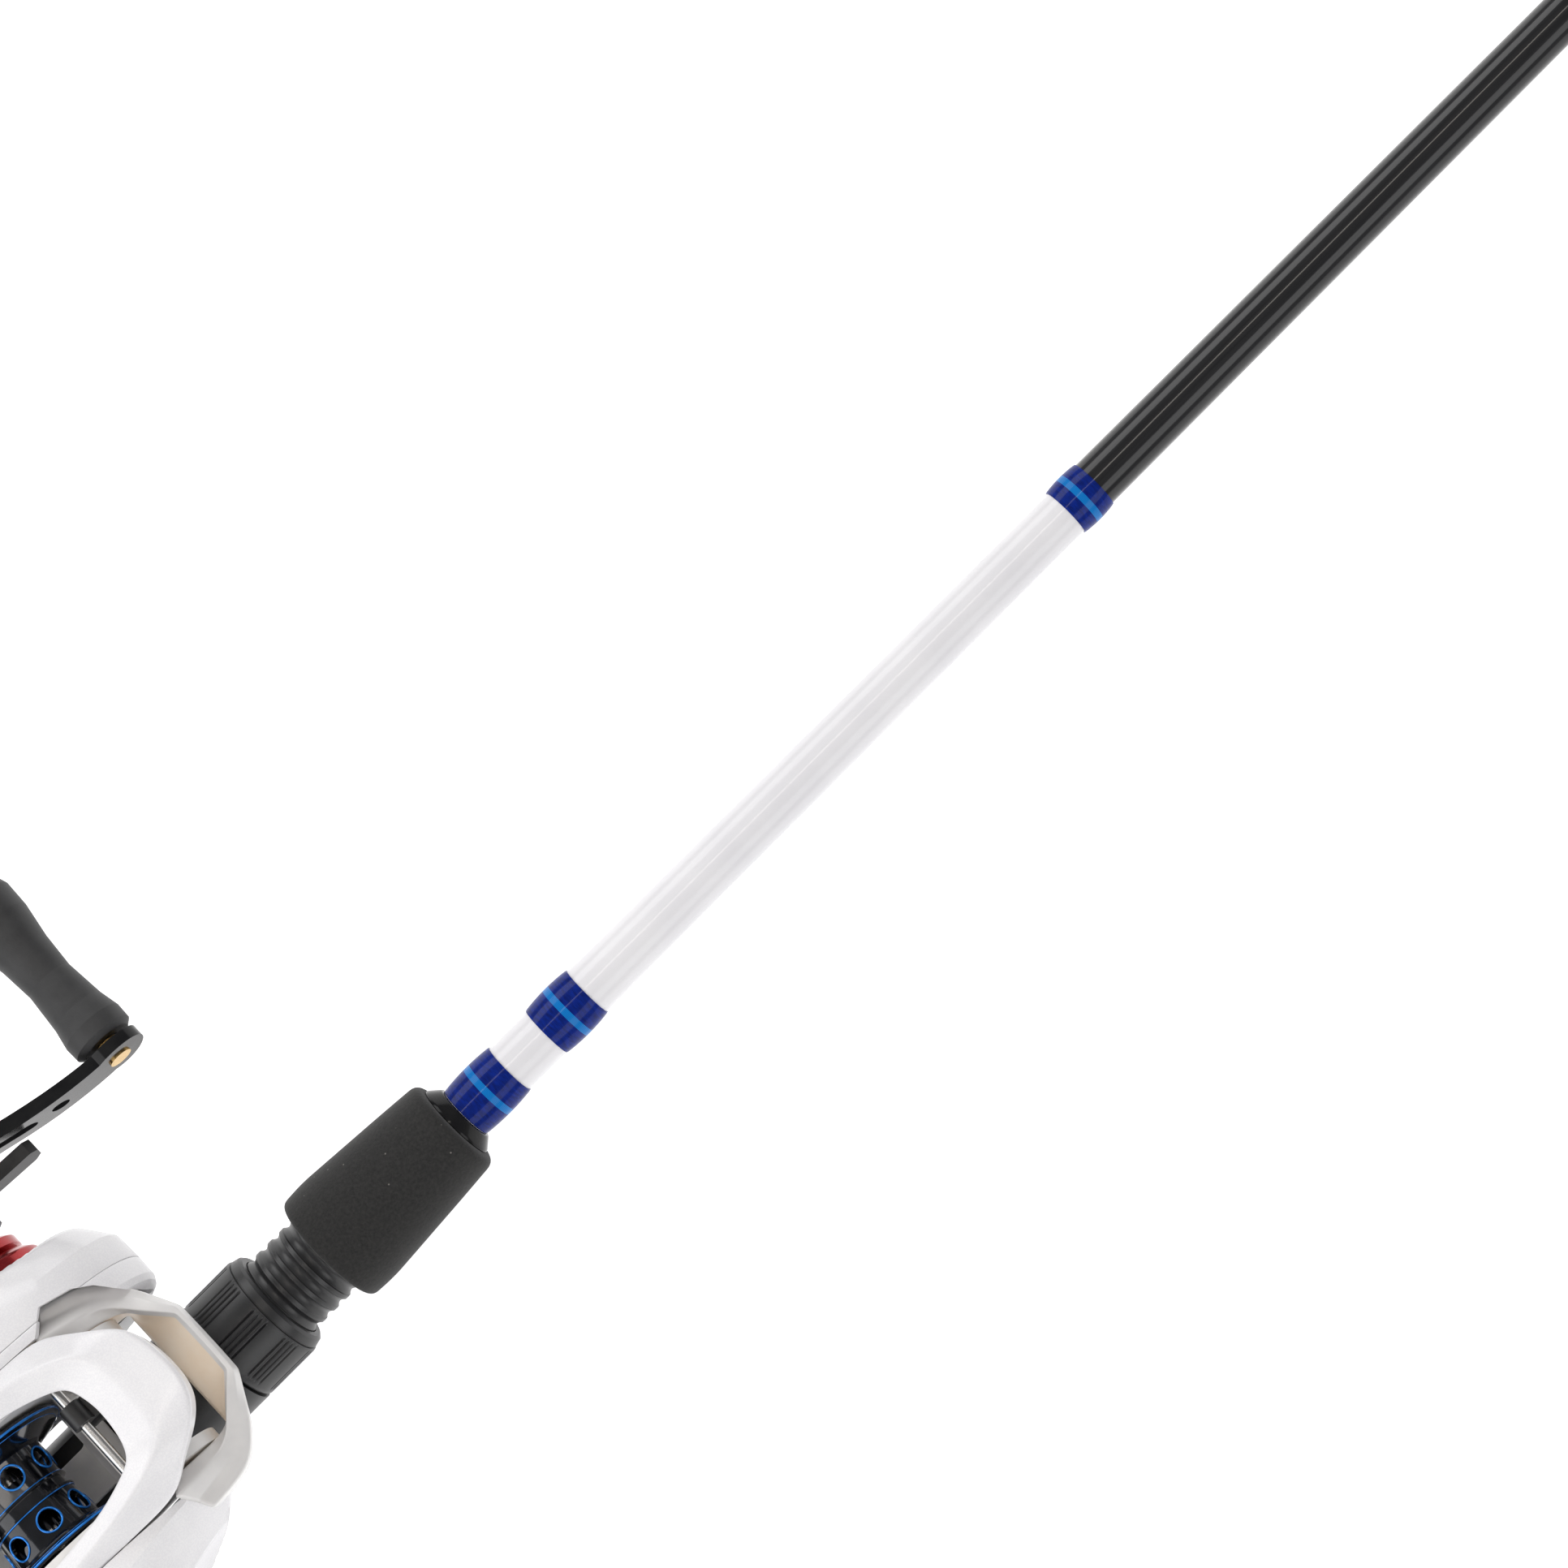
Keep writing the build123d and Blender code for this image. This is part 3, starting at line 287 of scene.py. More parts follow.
ALONG_ROD, ACROSS_ROD = (0.05, 1, 1), (1, 0.05, 1)  # stretch of the noise that draws a metal's lines


def brushed(name, dark, light, rough, axis_scale):
    """Turned or drawn metal: fine lines along one direction."""
    paint = Paint(name, Metallic=1.0)
    lines = paint.noise(0.0005, 3.0, vector=paint.stretched(axis_scale))
    paint.link(paint.ramp(lines, [(0.3, dark), (0.7, light)]), "Base Color")
    paint.link(paint.scaled(lines, rough[0], rough[1]), "Roughness")
    paint.bump(lines, 0.000008, 0.4)
    return paint.material


WHITE_END = 0.5862  # the blank is white up to this station, in metres
TRIM_BANDS = (0.4113, 0.43455, 0.5857)  # stations of the windings' pale bands

MATERIALS = {
    "blank": blank_paint("blank_paint", WHITE_END, 0.0006),
    "pearl": pearl_paint("pearl_paint", (0.85, 0.84, 0.855), (0.89, 0.88, 0.89)),
    "silver": finish_of("silver_paint", (0.76, 0.745, 0.74), (0.84, 0.825, 0.81), 0.006, (0.38, 0.46), 0.0004,
                        0.00001, Metallic=0.2, Coat_Weight=0.3, Coat_Roughness=0.15),
    # line ramp: the pale beige base colour is a painted reflection, the metal's bright warm reflection set as its
    # colour
    "ramp": finish_of("ramp_painted_reflection", (0.95, 0.78, 0.60), (0.98, 0.84, 0.68), 0.006, (0.3, 0.4), 0.0006,
                      0.00001, Metallic=0.1),
    "winding": thread_wrap("winding_blue", (0.0008, 0.010, 0.13), (0.0012, 0.022, 0.28), (0.004, 0.19, 0.58),
                           TRIM_BANDS, 0.0016),
    "guide_wrap": thread_wrap("winding_black", (0.008, 0.008, 0.010), (0.02, 0.02, 0.024)),
    "foam": foam("eva_foam"),
    "rubber": finish_of("black_rubber", (0.020, 0.020, 0.021), (0.034, 0.034, 0.035), 0.004, (0.55, 0.7), 0.0003,
                        0.00002),
    "seat": finish_of("black_nylon", (0.014, 0.014, 0.015), (0.022, 0.022, 0.023), 0.005, (0.32, 0.44), 0.0004,
                      0.00002),
    "gloss_black": finish_of("gloss_black", (0.008, 0.008, 0.009), (0.014, 0.014, 0.014), 0.004, (0.12, 0.2),
                             0.0006, 0.00001, IOR=1.22, Coat_Weight=0.12, Coat_Roughness=0.04),
    "star": finish_of("dark_grey_paint", (0.030, 0.030, 0.032), (0.048, 0.047, 0.048), 0.003, (0.4, 0.5), 0.0002,
                      0.00002, Metallic=0.4),
    "knob": finish_of("knob_rubber", (0.022, 0.022, 0.023), (0.036, 0.036, 0.037), 0.005, (0.5, 0.62), 0.00025,
                      0.00004),
    "red": finish_of("red_anodised", (0.30, 0.008, 0.012), (0.42, 0.016, 0.02), 0.004, (0.2, 0.28), 0.0003,
                     0.000008, Metallic=0.8, Coat_Weight=0.5, Coat_Roughness=0.05),
    "steel": brushed("ground_steel", (0.50, 0.50, 0.50), (0.66, 0.65, 0.64), (0.16, 0.28), ACROSS_ROD),
    "guide_metal": brushed("guide_metal", (0.05, 0.05, 0.055), (0.09, 0.09, 0.095), (0.25, 0.35), ALONG_ROD),
    "brass": brushed("brass", (0.55, 0.38, 0.14), (0.72, 0.52, 0.22), (0.2, 0.34), ACROSS_ROD),
    "gold": brushed("gold_pin", (0.60, 0.38, 0.12), (0.78, 0.52, 0.20), (0.2, 0.3), ACROSS_ROD),
    "ceramic": finish_of("ring_ceramic", (0.02, 0.02, 0.022), (0.03, 0.03, 0.032), 0.002, (0.08, 0.14), 0.0004,
                         0.000004, Coat_Weight=0.5),
    "drag": finish_of("drag_fibre", (0.04, 0.036, 0.03), (0.07, 0.06, 0.05), 0.002, (0.7, 0.85), 0.0003, 0.00003),
    "magnet": finish_of("magnet_nickel", (0.45, 0.44, 0.42), (0.58, 0.57, 0.54), 0.002, (0.25, 0.4), 0.0003,
                        0.00001, Metallic=1.0),
    "blue": finish_of("blue_cut_edge", (0.0, 0.16, 0.62), (0.02, 0.30, 0.95), 0.002, (0.16, 0.26), 0.0003,
                      0.000004, Metallic=0.6, Coat_Weight=0.5, Coat_Roughness=0.05),
    "thread": finish_of("thread_nylon", (0.012, 0.012, 0.013), (0.018, 0.018, 0.019), 0.004, (0.3, 0.4), 0.0004,
                        0.00001),
    "spool": finish_of("spool_black", (0.008, 0.009, 0.012), (0.014, 0.016, 0.022), 0.003, (0.10, 0.18), 0.0003,
                       0.000005, Metallic=0.6, Coat_Weight=0.6, Coat_Roughness=0.04),
}

NODE_FINISH = {
    "blank": ["blank"],
    "rubber": ["butt_cap", "clutch_yoke"],
    "silver": ["reel_frame", "yoke_posts"],
    "seat": ["reel_seat", "seat_hood", "thumb_bar", "line_carrier"],
    "gloss_black": ["grip_trim_rings", "handle_arm", "handle_nut", "tension_cap", "brake_dial"],
    "guide_metal": ["guide_frame_1", "guide_frame_2", "guide_frame_3", "guide_frame_4", "guide_frame_5",
                    "guide_frames_tip", "tip_top_frame", "hook_keeper"],
    "ceramic": ["guide_rings", "line_eye"],
    "guide_wrap": ["guide_wraps"],
    "steel": ["ball_bearings", "shaft_bushing", "anti_reverse_bearing", "guide_bar", "spool_shaft", "brake_rotor",
              "drive_shaft", "worm_shaft", "drag_pressure_plate"],
    "magnet": ["brake_magnet_ring"],
    "red": ["drag_boss", "drag_click_plate"],
    "spool": ["spool"],
    "brass": ["pinion", "drive_gear", "level_wind_cog", "worm_gear"],
    "drag": ["drag_washers"],
    "gold": ["knob_pins"],
    "star": ["star_drag"],
    "knob": ["knob_front", "knob_rear"],
}
for finish, node_names in NODE_FINISH.items():
    for node_name in node_names:
        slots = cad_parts[node_name].data.materials
        slots.clear()
        slots.append(MATERIALS[finish])


# ---------------------------------------------------------------- mesh helpers


def add_object(name, mesh, materials, body, node_names, smooth_angle=None):
    """Put a mesh in the scene, riding on a body in place of its CAD nodes."""
    for material in materials:
        mesh.materials.append(material)
    for polygon in mesh.polygons:
        polygon.use_smooth = True
    if smooth_angle:
        mesh.set_sharp_from_angle(angle=math.radians(smooth_angle))
    piece = bpy.data.objects.new(name, mesh)
    bpy.context.scene.collection.objects.link(piece)
    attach(piece, body)
    if node_names:
        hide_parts(*node_names)


def skin(rings, ring_creases=(), line_creases=(), paint_strip=None):
    """Mesh through rings of equal length, in millimetres, closed round each ring and capped at both ends.

    ring_creases sharpens whole rings, line_creases the lines from ring to ring; both are {index: weight}.
    paint_strip is the place round the ring whose faces take the second material."""
    work = bmesh.new()
    sharp = work.edges.layers.float.new("crease_edge")
    grid = [[work.verts.new([value * MM for value in point]) for point in ring] for ring in rings]
    count = len(rings[0])
    for first, second in zip(grid, grid[1:]):
        for place in range(count):
            after = (place + 1) % count
            face = work.faces.new((first[place], first[after], second[after], second[place]))
            if place == paint_strip:
                face.material_index = 1
    work.faces.new(grid[0][::-1])
    work.faces.new(grid[-1])
    for index, weight in dict(ring_creases).items():
        ring = grid[index]
        for place in range(count):
            work.edges.get((ring[place], ring[(place + 1) % count]))[sharp] = weight
    for place, weight in dict(line_creases).items():
        for first, second in zip(grid, grid[1:]):
            work.edges.get((first[place], second[place]))[sharp] = weight
    bmesh.ops.recalc_face_normals(work, faces=work.faces)
    mesh = bpy.data.meshes.new("skin")
    work.to_mesh(mesh)
    work.free()
    return mesh


def subdivided(mesh, levels, cutters=()):
    """The mesh after subdivision, less the cutters' space. A cut mesh comes back with no materials."""
    carrier = bpy.data.objects.new("carrier", mesh)
    bpy.context.scene.collection.objects.link(carrier)
    smooth = carrier.modifiers.new("smooth", "SUBSURF")
    smooth.levels = smooth.render_levels = levels
    for cutter in cutters:
        cut = carrier.modifiers.new("cut", "BOOLEAN")
        cut.operation = "DIFFERENCE"
        cut.solver = "EXACT"
        cut.object = cutter
    bpy.context.view_layer.update()
    graph = bpy.context.evaluated_depsgraph_get()
    result = bpy.data.meshes.new_from_object(carrier.evaluated_get(graph))
    if cutters:
        result.materials.clear()
    bpy.data.objects.remove(carrier)
    return result


def prism(plan, low, high):
    """Upright solid over a plan outline, as a cutter."""
    rings = [[(x, y, z) for x, y in plan] for z in (low, high)]
    cutter = bpy.data.objects.new("cutter", skin(rings))
    bpy.context.scene.collection.objects.link(cutter)
    return cutter


def mirrored(points):
    """An outline given for y > 0, closed by its mirror image."""
    return points + [(x, -y) for x, y in reversed(points)]


def curve_through(points, steps):
    """Closed smooth curve through points, with steps points for each span."""
    total = len(points)
    path = []
    for index in range(total):
        p0, p1, p2, p3 = (Vector(points[(index + shift) % total]) for shift in (-1, 0, 1, 2))
        for step in range(steps):
            t = step / steps
            square = 2 * p0 - 5 * p1 + 4 * p2 - p3
            cube = 3 * p1 - p0 - 3 * p2 + p3
            path.append(0.5 * (2 * p1 + (p2 - p0) * t + square * t * t + cube * t ** 3))
    return path


def moved_in(path, distance, weight):
    """The closed path moved towards its inside, by distance times the weight at each point."""
    total = len(path)
    area = sum(first.x * second.y - second.x * first.y for first, second in zip(path, path[1:] + path[:1]))
    side = 1 if area > 0 else -1
    result = []
    for index, point in enumerate(path):
        along = (path[(index + 1) % total] - path[index - 1]).normalized()
        result.append(point + side * distance * weight(point) * Vector((-along.y, along.x)))
    return result


def bezel(stations, fillet, steps=4):
    """Profile of (station, radius) with every inner corner rounded by up to fillet."""
    profile = [Vector(stations[0])]
    for before, corner, after in zip(stations, stations[1:], stations[2:]):
        before, corner, after = Vector(before), Vector(corner), Vector(after)
        reach = min(fillet, (before - corner).length * 0.45, (after - corner).length * 0.45)
        start = corner + (before - corner).normalized() * reach
        end = corner + (after - corner).normalized() * reach
        for step in range(steps + 1):
            t = step / steps
            profile.append((1 - t) ** 2 * start + 2 * t * (1 - t) * corner + t * t * end)
    return profile + [Vector(stations[-1])]


def turned(profile, across=(0, 0), axis="X", segments=96, shape=None):
    """Mesh turned about a line along an axis, from a profile closed into a ring through its first and last points.

    across is the line's place in the other two directions; shape(station, radius, angle) gives the radius
    there."""
    work = bmesh.new()
    rows = []
    for station, radius in profile:
        row = []
        for number in range(segments):
            angle = 2 * math.pi * number / segments
            reach = shape(station, radius, angle) if shape else radius
            side, height = across[0] + reach * math.cos(angle), across[1] + reach * math.sin(angle)
            place = (station, side, height) if axis == "X" else (side, station, height)
            row.append(work.verts.new([value * MM for value in place]))
        rows.append(row)
    for first, second in zip(rows, rows[1:] + rows[:1]):
        for number in range(segments):
            after = (number + 1) % segments
            work.faces.new((first[number], first[after], second[after], second[number]))
    bmesh.ops.recalc_face_normals(work, faces=work.faces)
    mesh = bpy.data.meshes.new("turned")
    work.to_mesh(mesh)
    work.free()
    return mesh


# ---------------------------------------------------------------- reel: hood, cowl and side plates

ROOT = "rod_and_frame"

# Window edge, crown line and outer edge of the hood, from the rear on the handle side round to the rear on the
# palm side.
HOOD = [
    ((271.5, 15.0, 44.5), (271, 19.0, 45.0), (271, 21.35, 43.0)),
    ((287, 15.6, 47.4), (287, 19.6, 48.4), (287, 21.35, 46.2)),
    ((303.1, 14.0, 46.6), (302, 18.6, 48.4), (303, 21.35, 45.4)),
    ((310.6, 11.6, 46.2), (311, 17.2, 48.1), (312, 21.35, 43.6)),
    ((314.9, 9.8, 46), (317.5, 14.6, 47.9), (317.6, 21.2, 41.0)),
    ((316.6, 8.0, 46), (322.0, 12.2, 47.7), (324.0, 16.4, 44.4)),
    ((317.4, 5.5, 46), (324.4, 8.6, 47.5), (329.4, 12.4, 46.0)),
    ((318.0, 2.5, 46), (325.0, 4.0, 47.4), (333.5, 8.7, 46.2)),
    ((318.1, 0, 46), (325.2, 0.0, 47.4), (335.1, 1.0, 46.3)),
    ((317.9, -3.5, 46), (325.2, -4.5, 47.4), (334.9, -6.2, 46.2)),
    ((317.2, -7.2, 46), (324.9, -8.2, 47.5), (333.2, -10.4, 46)),
    ((316.0, -9.5, 46), (323.3, -11.3, 47.7), (329.3, -14.1, 45.4)),
    ((314.4, -10.7, 46), (318.8, -14.1, 47.9), (322.5, -17.8, 44)),
    ((309.6, -12.4, 46.2), (313, -15.8, 48.1), (317.4, -21.2, 41.0)),
    ((303.6, -14.1, 46.6), (304.4, -17.5, 48.4), (306, -21.35, 44.6)),
    ((287, -15.6, 47.4), (287, -19.3, 48.4), (287, -21.35, 46.2)),
    ((271.5, -15.0, 44.5), (271, -19.0, 45.0), (271, -21.35, 43.0)),
]
HOOD_THICKNESS = 2.9
SKIRT_Z = 41.3  # the side plates' tops, where the skirt ends
NOSE_X, NOSE_Z = 318, 39.4  # ahead of this station the skirt runs down to this height


def make_hood():
    """White hood, a thick shell whose section runs from the window's wall over the crown to the skirt."""
    sections = []
    for edge, crown, rim in (tuple(Vector(point) for point in row) for row in HOOD):
        inward = (crown - rim).xy.normalized().to_3d()
        outward = (crown - edge).xy.normalized().to_3d()
        skirt = min(rim.z - 0.6, SKIRT_Z)
        foot = Vector((rim.x, rim.y, skirt)) + inward * (0.1 if skirt < 41 else 1.0)
        if rim.x > NOSE_X:
            foot.z = NOSE_Z
        sections.append([
            edge + outward * 1.3 - Vector((0, 0, 3.4)),
            edge + outward * 0.15 - Vector((0, 0, 1.3)),
            edge,
            crown,
            rim,
            foot,
            foot + inward * 1.7,
            crown - Vector((0, 0, HOOD_THICKNESS)),
        ])
    mesh = skin(sections, {0: 1, len(sections) - 1: 1}, {1: 0.3, 2: 0.8, 3: 0.8, 4: 0.85, 5: 0.9, 6: 0.9})
    add_object("hood_shell", subdivided(mesh, 3), [MATERIALS["pearl"]], ROOT, ["top_hood"])


# Foot of the ramp, mouth edge, first crease, second crease, outer edge and outer foot, from the rear to the middle
COWL = [
    ((317.5, 17.2, 21), (318, 17.2, 36.4), (316.4, 21.0, 40.2),
     (318.0, 24.2, 36.6), (319.5, 27.1, 36.0), (317.0, 25.8, 22)),
    ((324.0, 16.9, 16.0), (324.4, 16.8, 32.6), (323.3, 20.2, 35.3),
     (325.0, 22.6, 32.8), (326.8, 26.0, 31.8), (323.5, 24.4, 17.2)),
    ((328.9, 16.4, 19.5), (330.0, 16.1, 26.8), (328.5, 19.0, 31.0),
     (330.7, 20.7, 29.3), (330.6, 23.8, 28.6), (327.5, 22.2, 16.0)),
    ((328.7, 14.6, 20.2), (331.9, 13.2, 26.9), (332.6, 13.9, 29.4),
     (334.0, 15.9, 28.3), (335.0, 17.7, 27.2), (331.9, 16.3, 14.8)),
    ((328.6, 12.5, 20.5), (337.2, 7.4, 27.0), (338.0, 7.8, 28.0),
     (338.8, 8.8, 27.6), (339.2, 8.9, 25.2), (335.6, 8.2, 14.6)),
    ((328.6, 6.0, 20.5), (337.4, 3.5, 27.4), (338.3, 3.6, 28.0),
     (339.1, 3.9, 27.6), (339.3, 4.0, 25.2), (335.8, 4.0, 14.6)),
]


def make_cowl():
    """Silver cowl with creased facets, and the line ramp inside its mouth, whose pale beige colour is a painted
    reflection.
    """
    halves = [list(row) for row in COWL]
    sections = halves + [[(x, -y, z) for x, y, z in row] for row in reversed(halves)]
    last = len(sections) - 1
    across = {0: 1, last: 1, 3: 0.3, last - 3: 0.3, 4: 0.6, last - 4: 0.6}
    mesh = skin(sections, across, {0: 0.9, 1: 0.85, 2: 0.85, 3: 0.8, 4: 0.75, 5: 0.9}, paint_strip=0)
    mesh.materials.append(MATERIALS["silver"])
    # second material: the ramp strip, painted pale beige as a painted reflection of the metal
    mesh.materials.append(MATERIALS["ramp"])
    add_object("cowl_shell", subdivided(mesh, 3), [], ROOT, ["front_cowl"])


# Outlines of the side plates in x and z, and of the space the cowl takes in x and y
GEAR_SIDE = [(337.8, 19.5), (334.2, 8.5), (323, 0.6), (309, -2.2), (292, 2), (275, 10), (263, 21), (261, 33),
             (270, 43), (287, 46.6), (305, 44.6), (321, 39.5), (333.5, 31)]
PALM_SIDE = [(326, 25), (320, 14), (304, 8.5), (286, 8.5), (270, 14), (261, 25), (262, 36), (272, 44),
             (288, 46.8), (304, 44.5), (318, 37)]
LOOP_PLAN = [(295, 21.5), (317.0, 21.5), (321.2, 26.0), (327.4, 24.9), (330.8, 22.7), (335.0, 17.0), (339.6, 8.0)]
LOOP_FLOOR_Z, ABOVE_REEL_Z = 12.8, 60
WALL_Y = 16.5  # inner side of the plates, beside the frame's walls


def share(value):
    """The value held between 0 and 1."""
    return max(0.0, min(1.0, value))


def shell(name, outline, path, cutters, node, weight=lambda point: 1.0, depth=lambda x: 1.0):
    """Side plate: the outline swept along a path of (y, distance moved in), with both its ends capped.

    weight(point) scales the distance moved in, and depth(x) is the share of its full depth that the plate keeps at
    a station."""
    curve = curve_through(outline, 6)
    rings = []
    for y, distance in path:
        ring = []
        for point in moved_in(curve, distance, weight):
            beyond = (abs(y) - WALL_Y) * depth(point.x)
            ring.append((point.x, math.copysign(WALL_Y + beyond, y), point.y))
        rings.append(ring)
    creases = {index: 0.9 for index in range(len(path))}
    mesh = subdivided(skin(rings, creases), 1, cutters)
    add_object(name, mesh, [MATERIALS["pearl"]], ROOT, [node], 25)


def make_side_plates():
    """White plates on both sides, cut away under the hood and where the cowl passes."""
    loop = prism(mirrored(LOOP_PLAN), LOOP_FLOOR_Z, ABOVE_REEL_Z)
    under_hood = prism(mirrored([(255, 21.5), (345, 21.5)]), SKIRT_Z, ABOVE_REEL_Z)
    cutters = [loop, under_hood]
    shell("gear_cover_shell", GEAR_SIDE,
          [(36.6, 9.6), (34.8, 7.2), (28.2, 2.2), (24.0, 1.7), (24.0, 0.15), (24.2, 0.0), (30.4, 0.3), (36.6, 5.6),
           (37.8, 7.6)],
          [loop], "gear_side_cover", weight=lambda point: 0.45 + 0.4 * share((point.x - 318) / 10))
    shell("gear_plate_shell", GEAR_SIDE,
          [(19.4, 2.6), (23.96, 1.8), (23.96, 0.2), (23.7, 0.05), (19.4, 0.1), (18.2, 0.8), (17.6, 2.2)],
          cutters, "gear_base_plate")
    shell("palm_shell", PALM_SIDE,
          [(-34.2, 9.6), (-31.6, 7.0), (-25.2, 2.2), (-16.6, 1.8), (-16.6, 0.2), (-17.0, 0.0), (-26.0, 0.3),
           (-29.6, 3.0), (-32.6, 5.6), (-36.0, 9.0)],
          cutters, "palm_side_plate", depth=lambda x: 1.0 - 0.51 * share((x - 298) / 27))
    for cutter in cutters:
        bpy.data.objects.remove(cutter)


# ---------------------------------------------------------------- rod and grips

BORE = 6.4  # radius of the bore through the foam


def make_grips():
    """Foam grips and the check ring, turned from profiles of (station, radius)."""
    foregrip = [(365.4, BORE), (365.4, 9.96), (363.8, 9.96), (363.8, 13.4), (369.8, 13.75), (391.7, 12.2),
                (401.5, 11.4), (401.5, BORE)]
    rear = [(14.1, BORE), (14.1, 12.6), (20, 13.7), (30, 14.0), (62, 14.0), (78, 12.4), (93, 11.0), (98, 9.4),
            (98, BORE)]
    seat = [(196, BORE), (196, 8.6), (200, 10.0), (218, 11.6), (232, 12.9), (235.6, 12.2), (235.6, BORE)]
    for node, profile, fillet, steps in (("foregrip", foregrip, 3.6, 8), ("rear_grip", rear, 2.5, 6),
                                         ("seat_grip", seat, 2.0, 6)):
        mesh = turned(bezel(profile, fillet, steps))
        add_object(node + "_foam", mesh, [MATERIALS["foam"]], ROOT, [node], 50)
    check = bezel([(401.45, 6.2), (401.45, 8.95), (402.1, 8.8), (404.35, 6.85), (404.4, 6.2)], 0.3, 4)
    add_object("check_ring", turned(check), [MATERIALS["gloss_black"]], ROOT, ["winding_check"], 50)


# Start, end, radius of the blank there, and height of the crown
WINDINGS = {"winding_rear": (404.5, 417.45, 6.0, 0.44), "winding_middle": (428.35, 440.3, 5.93, 0.46),
            "winding_front": (581.6, 590.0, 5.57, 0.36)}


def make_windings():
    """Thread under epoxy: a low crowned body whose ends run out on the blank."""
    for name, (start, end, blank, height) in WINDINGS.items():
        profile = [(start, blank - 0.3)]
        for step in range(33):
            t = step / 32
            rise = max(0.0, math.sin(math.pi * t)) ** 0.7
            profile.append((start + (end - start) * t, blank + 0.2 + height * rise))
        profile.append((end, blank - 0.3))
        add_object(name + "_epoxy", turned(profile), [MATERIALS["winding"]], ROOT, [name], 60)


NUT_GROUPS = 9
NUT_RADIUS = 12.75
GROOVES = (335.55, 347.1)  # stations between which the grooves run
GROOVE_DEPTH = 0.38
GROOVE_STEPS_PER_GROUP = 7.0  # four of them hold a groove, three are the plain land between groups


def make_nut():
    """Lock nut with nine groups of four fine grooves between plain rims."""
    stations = [(334.0, 10.1), (334.0, 12.3), (334.7, NUT_RADIUS), (335.5, NUT_RADIUS)]
    stations += [(335.6 + 0.42 * step, NUT_RADIUS) for step in range(28)]
    stations += [(347.2, 12.7), (347.4, 12.6), (347.5, 12.2), (347.7, 12.2), (347.8, 12.4), (349.4, 12.0),
                 (350.0, 11.3), (350.0, 10.1)]

    def grooved(station, radius, angle):
        start, end = GROOVES
        if not start < station < end:
            return radius
        place = ((angle / (2 * math.pi) * NUT_GROUPS) % 1 - 0.5) * GROOVE_STEPS_PER_GROUP
        if abs(place) > 2.0:
            return radius
        run_out = min(1.0, (station - start) / 0.8, (end - station) / 0.8)
        return radius - GROOVE_DEPTH * run_out * max(0.0, -math.cos(2 * math.pi * place)) ** 1.5

    mesh = turned(stations, segments=540, shape=grooved)
    add_object("nut_ribbed", mesh, [MATERIALS["seat"]], "seat_nut", ["lock_nut"], 35)


def tube(path, radius, segments=8):
    """Closed wire along a closed path, in millimetres."""
    work = bmesh.new()
    total = len(path)
    middle = sum(path, Vector()) / total
    rings = []
    for index, point in enumerate(path):
        along = (path[(index + 1) % total] - path[index - 1]).normalized()
        side = (point - middle).cross(along).normalized()
        over = along.cross(side)
        ring = []
        for step in range(segments):
            angle = 2 * math.pi * step / segments
            ring.append(work.verts.new((point + radius * (math.cos(angle) * side + math.sin(angle) * over)) * MM))
        rings.append(ring)
    for first, second in zip(rings, rings[1:] + rings[:1]):
        for step in range(segments):
            after = (step + 1) % segments
            work.faces.new((first[step], first[after], second[after], second[step]))
    bmesh.ops.recalc_face_normals(work, faces=work.faces)
    mesh = bpy.data.meshes.new("tube")
    work.to_mesh(mesh)
    work.free()
    return mesh


SPOOL_CENTRE = Vector((290.0, 0.0, 28.6))


def round_spool(radius, y, turn):
    """Point on a circle round the spool's axis; turn 0 is forward and a positive turn goes down."""
    return SPOOL_CENTRE + Vector((radius * math.cos(turn), y, -radius * math.sin(turn)))


EDGE_RINGS = [(12.0, 16.95, 0.28), (11.35, 15.7, 0.16), (1.75, 9.5, 0.2)]  # distance from the middle, radius, wire
HOLES_PER_ROW, HOLE_RADIUS, HOLE_ROW_Y = 7, 2.5, 5.7
FIRST_HOLE = math.radians(25.0 - 90.0)
DRUM_RADIUS = 9.75  # at the holes


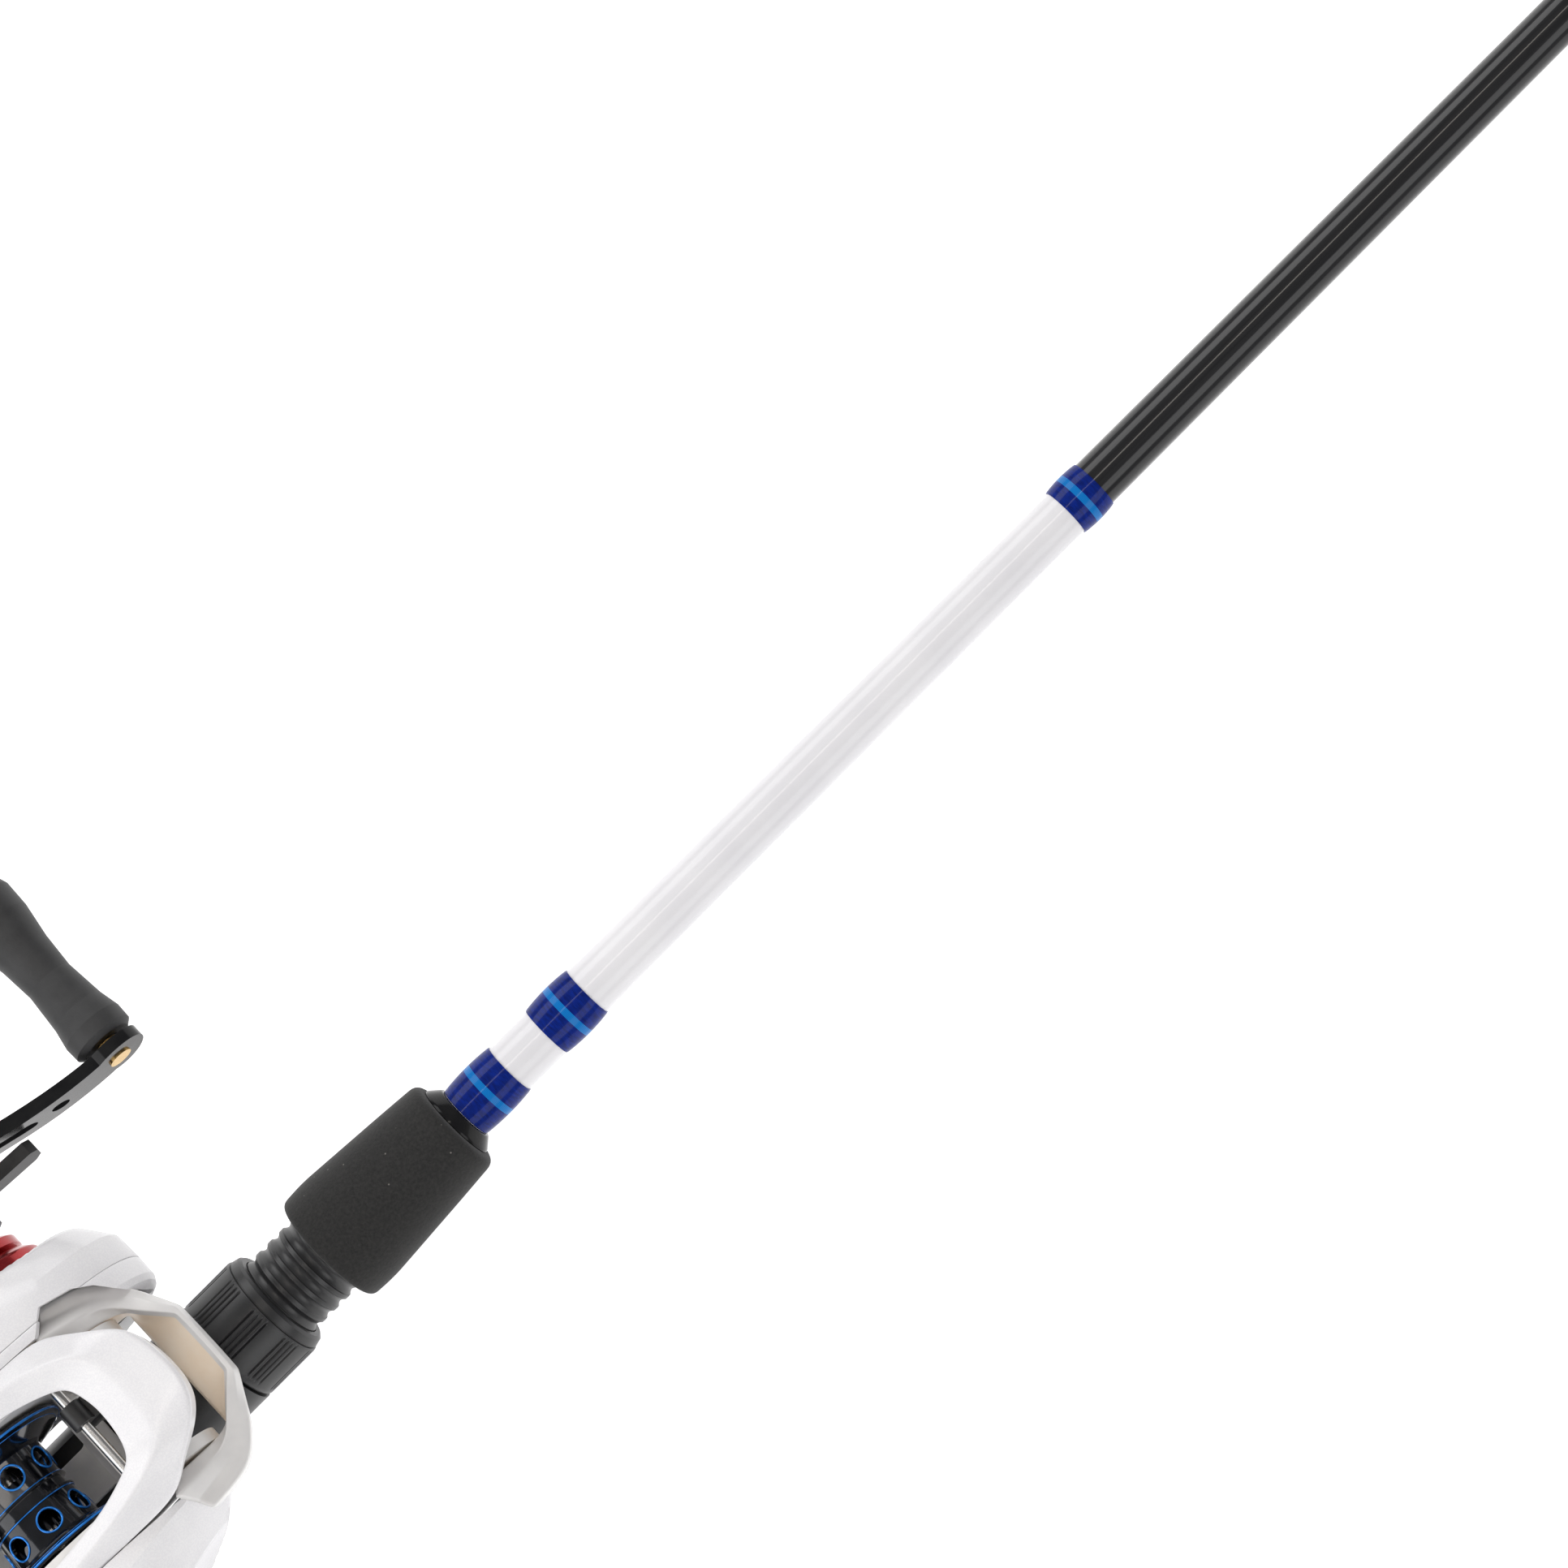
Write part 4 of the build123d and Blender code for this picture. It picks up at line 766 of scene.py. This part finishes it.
def make_spool_edges():
    """Bright blue cut edges: flange rims, drilled holes and the two steps beside the middle groove."""
    edges = []
    for from_middle, radius, wire in EDGE_RINGS:
        for y in (from_middle, -from_middle):
            edges.append(tube([round_spool(radius, y, 2 * math.pi * step / 144) for step in range(144)], wire))
    for row in (-HOLE_ROW_Y, HOLE_ROW_Y):
        for number in range(HOLES_PER_ROW):
            centre = FIRST_HOLE + 2 * math.pi * number / HOLES_PER_ROW
            path = []
            for step in range(40):
                angle = 2 * math.pi * step / 40
                y = row + HOLE_RADIUS * math.cos(angle)
                radius = 9.43 + 0.083 * (abs(y) - 1.9)
                path.append(round_spool(radius, y, centre + HOLE_RADIUS * math.sin(angle) / DRUM_RADIUS))
            edges.append(tube(path, 0.24))
    for number, mesh in enumerate(edges):
        add_object(f"blue_edge_{number}", mesh, [MATERIALS["blue"]], "spool_body", ())


DRIVE_AXIS = (309.508, 19.503)  # x and z


def make_boss():
    """Thick red disc under the star, chamfered towards the click plate."""
    profile = bezel([(37.9, 5.1), (37.9, 14.6), (40.7, 14.6), (42.4, 12.6), (42.4, 5.1)], 0.4)
    disc = turned(profile, across=DRIVE_AXIS, axis="Y")
    add_object("boss_disc", disc, [MATERIALS["red"]], ROOT, ["drag_boss"], 40)


THREAD_PITCH, THREAD_MEAN_RADIUS, THREAD_HEIGHT = 3.4, 9.58, 0.34
FIRST_CREST = 308.9


def make_thread():
    """Rounded thread that fills the seat's square grooves."""
    profile = [(307.2, 8.6)]
    for step in range(560):
        station = 307.3 + step * 0.1029
        wave = math.cos(2 * math.pi * (station - FIRST_CREST) / THREAD_PITCH)
        profile.append((station, THREAD_MEAN_RADIUS + THREAD_HEIGHT * wave))
    profile.append((364.95, 8.6))
    add_object("seat_thread", turned(profile), [MATERIALS["thread"]], ROOT, ())


make_hood()
make_cowl()
make_side_plates()
make_grips()
make_windings()
make_nut()
make_spool_edges()
make_thread()
make_boss()


def floor_material():
    """White floor that glows a little, so that it stays even under the lights."""
    paint = Paint("floor_white", Roughness=0.6)
    paint.link(paint.ramp(paint.noise(0.4), [(0.3, (0.80, 0.80, 0.80)), (0.7, (0.82, 0.82, 0.82))]), "Base Color")
    paint.shader.inputs["Emission Color"].default_value = (1, 1, 1, 1)
    paint.shader.inputs["Emission Strength"].default_value = FLOOR_GLOW
    return paint.material


def make_floor():
    """Square floor under the rod."""
    mesh = bpy.data.meshes.new("floor")
    corners = [(-1, -1), (1, -1), (1, 1), (-1, 1)]
    corners = [(x * FLOOR_SIDE, y * FLOOR_SIDE, FLOOR_Z) for x, y in corners]
    mesh.from_pydata(corners, [], [(0, 1, 2, 3)])
    mesh.materials.append(floor_material())
    floor = bpy.data.objects.new("floor", mesh)
    bpy.context.scene.collection.objects.link(floor)


make_floor()
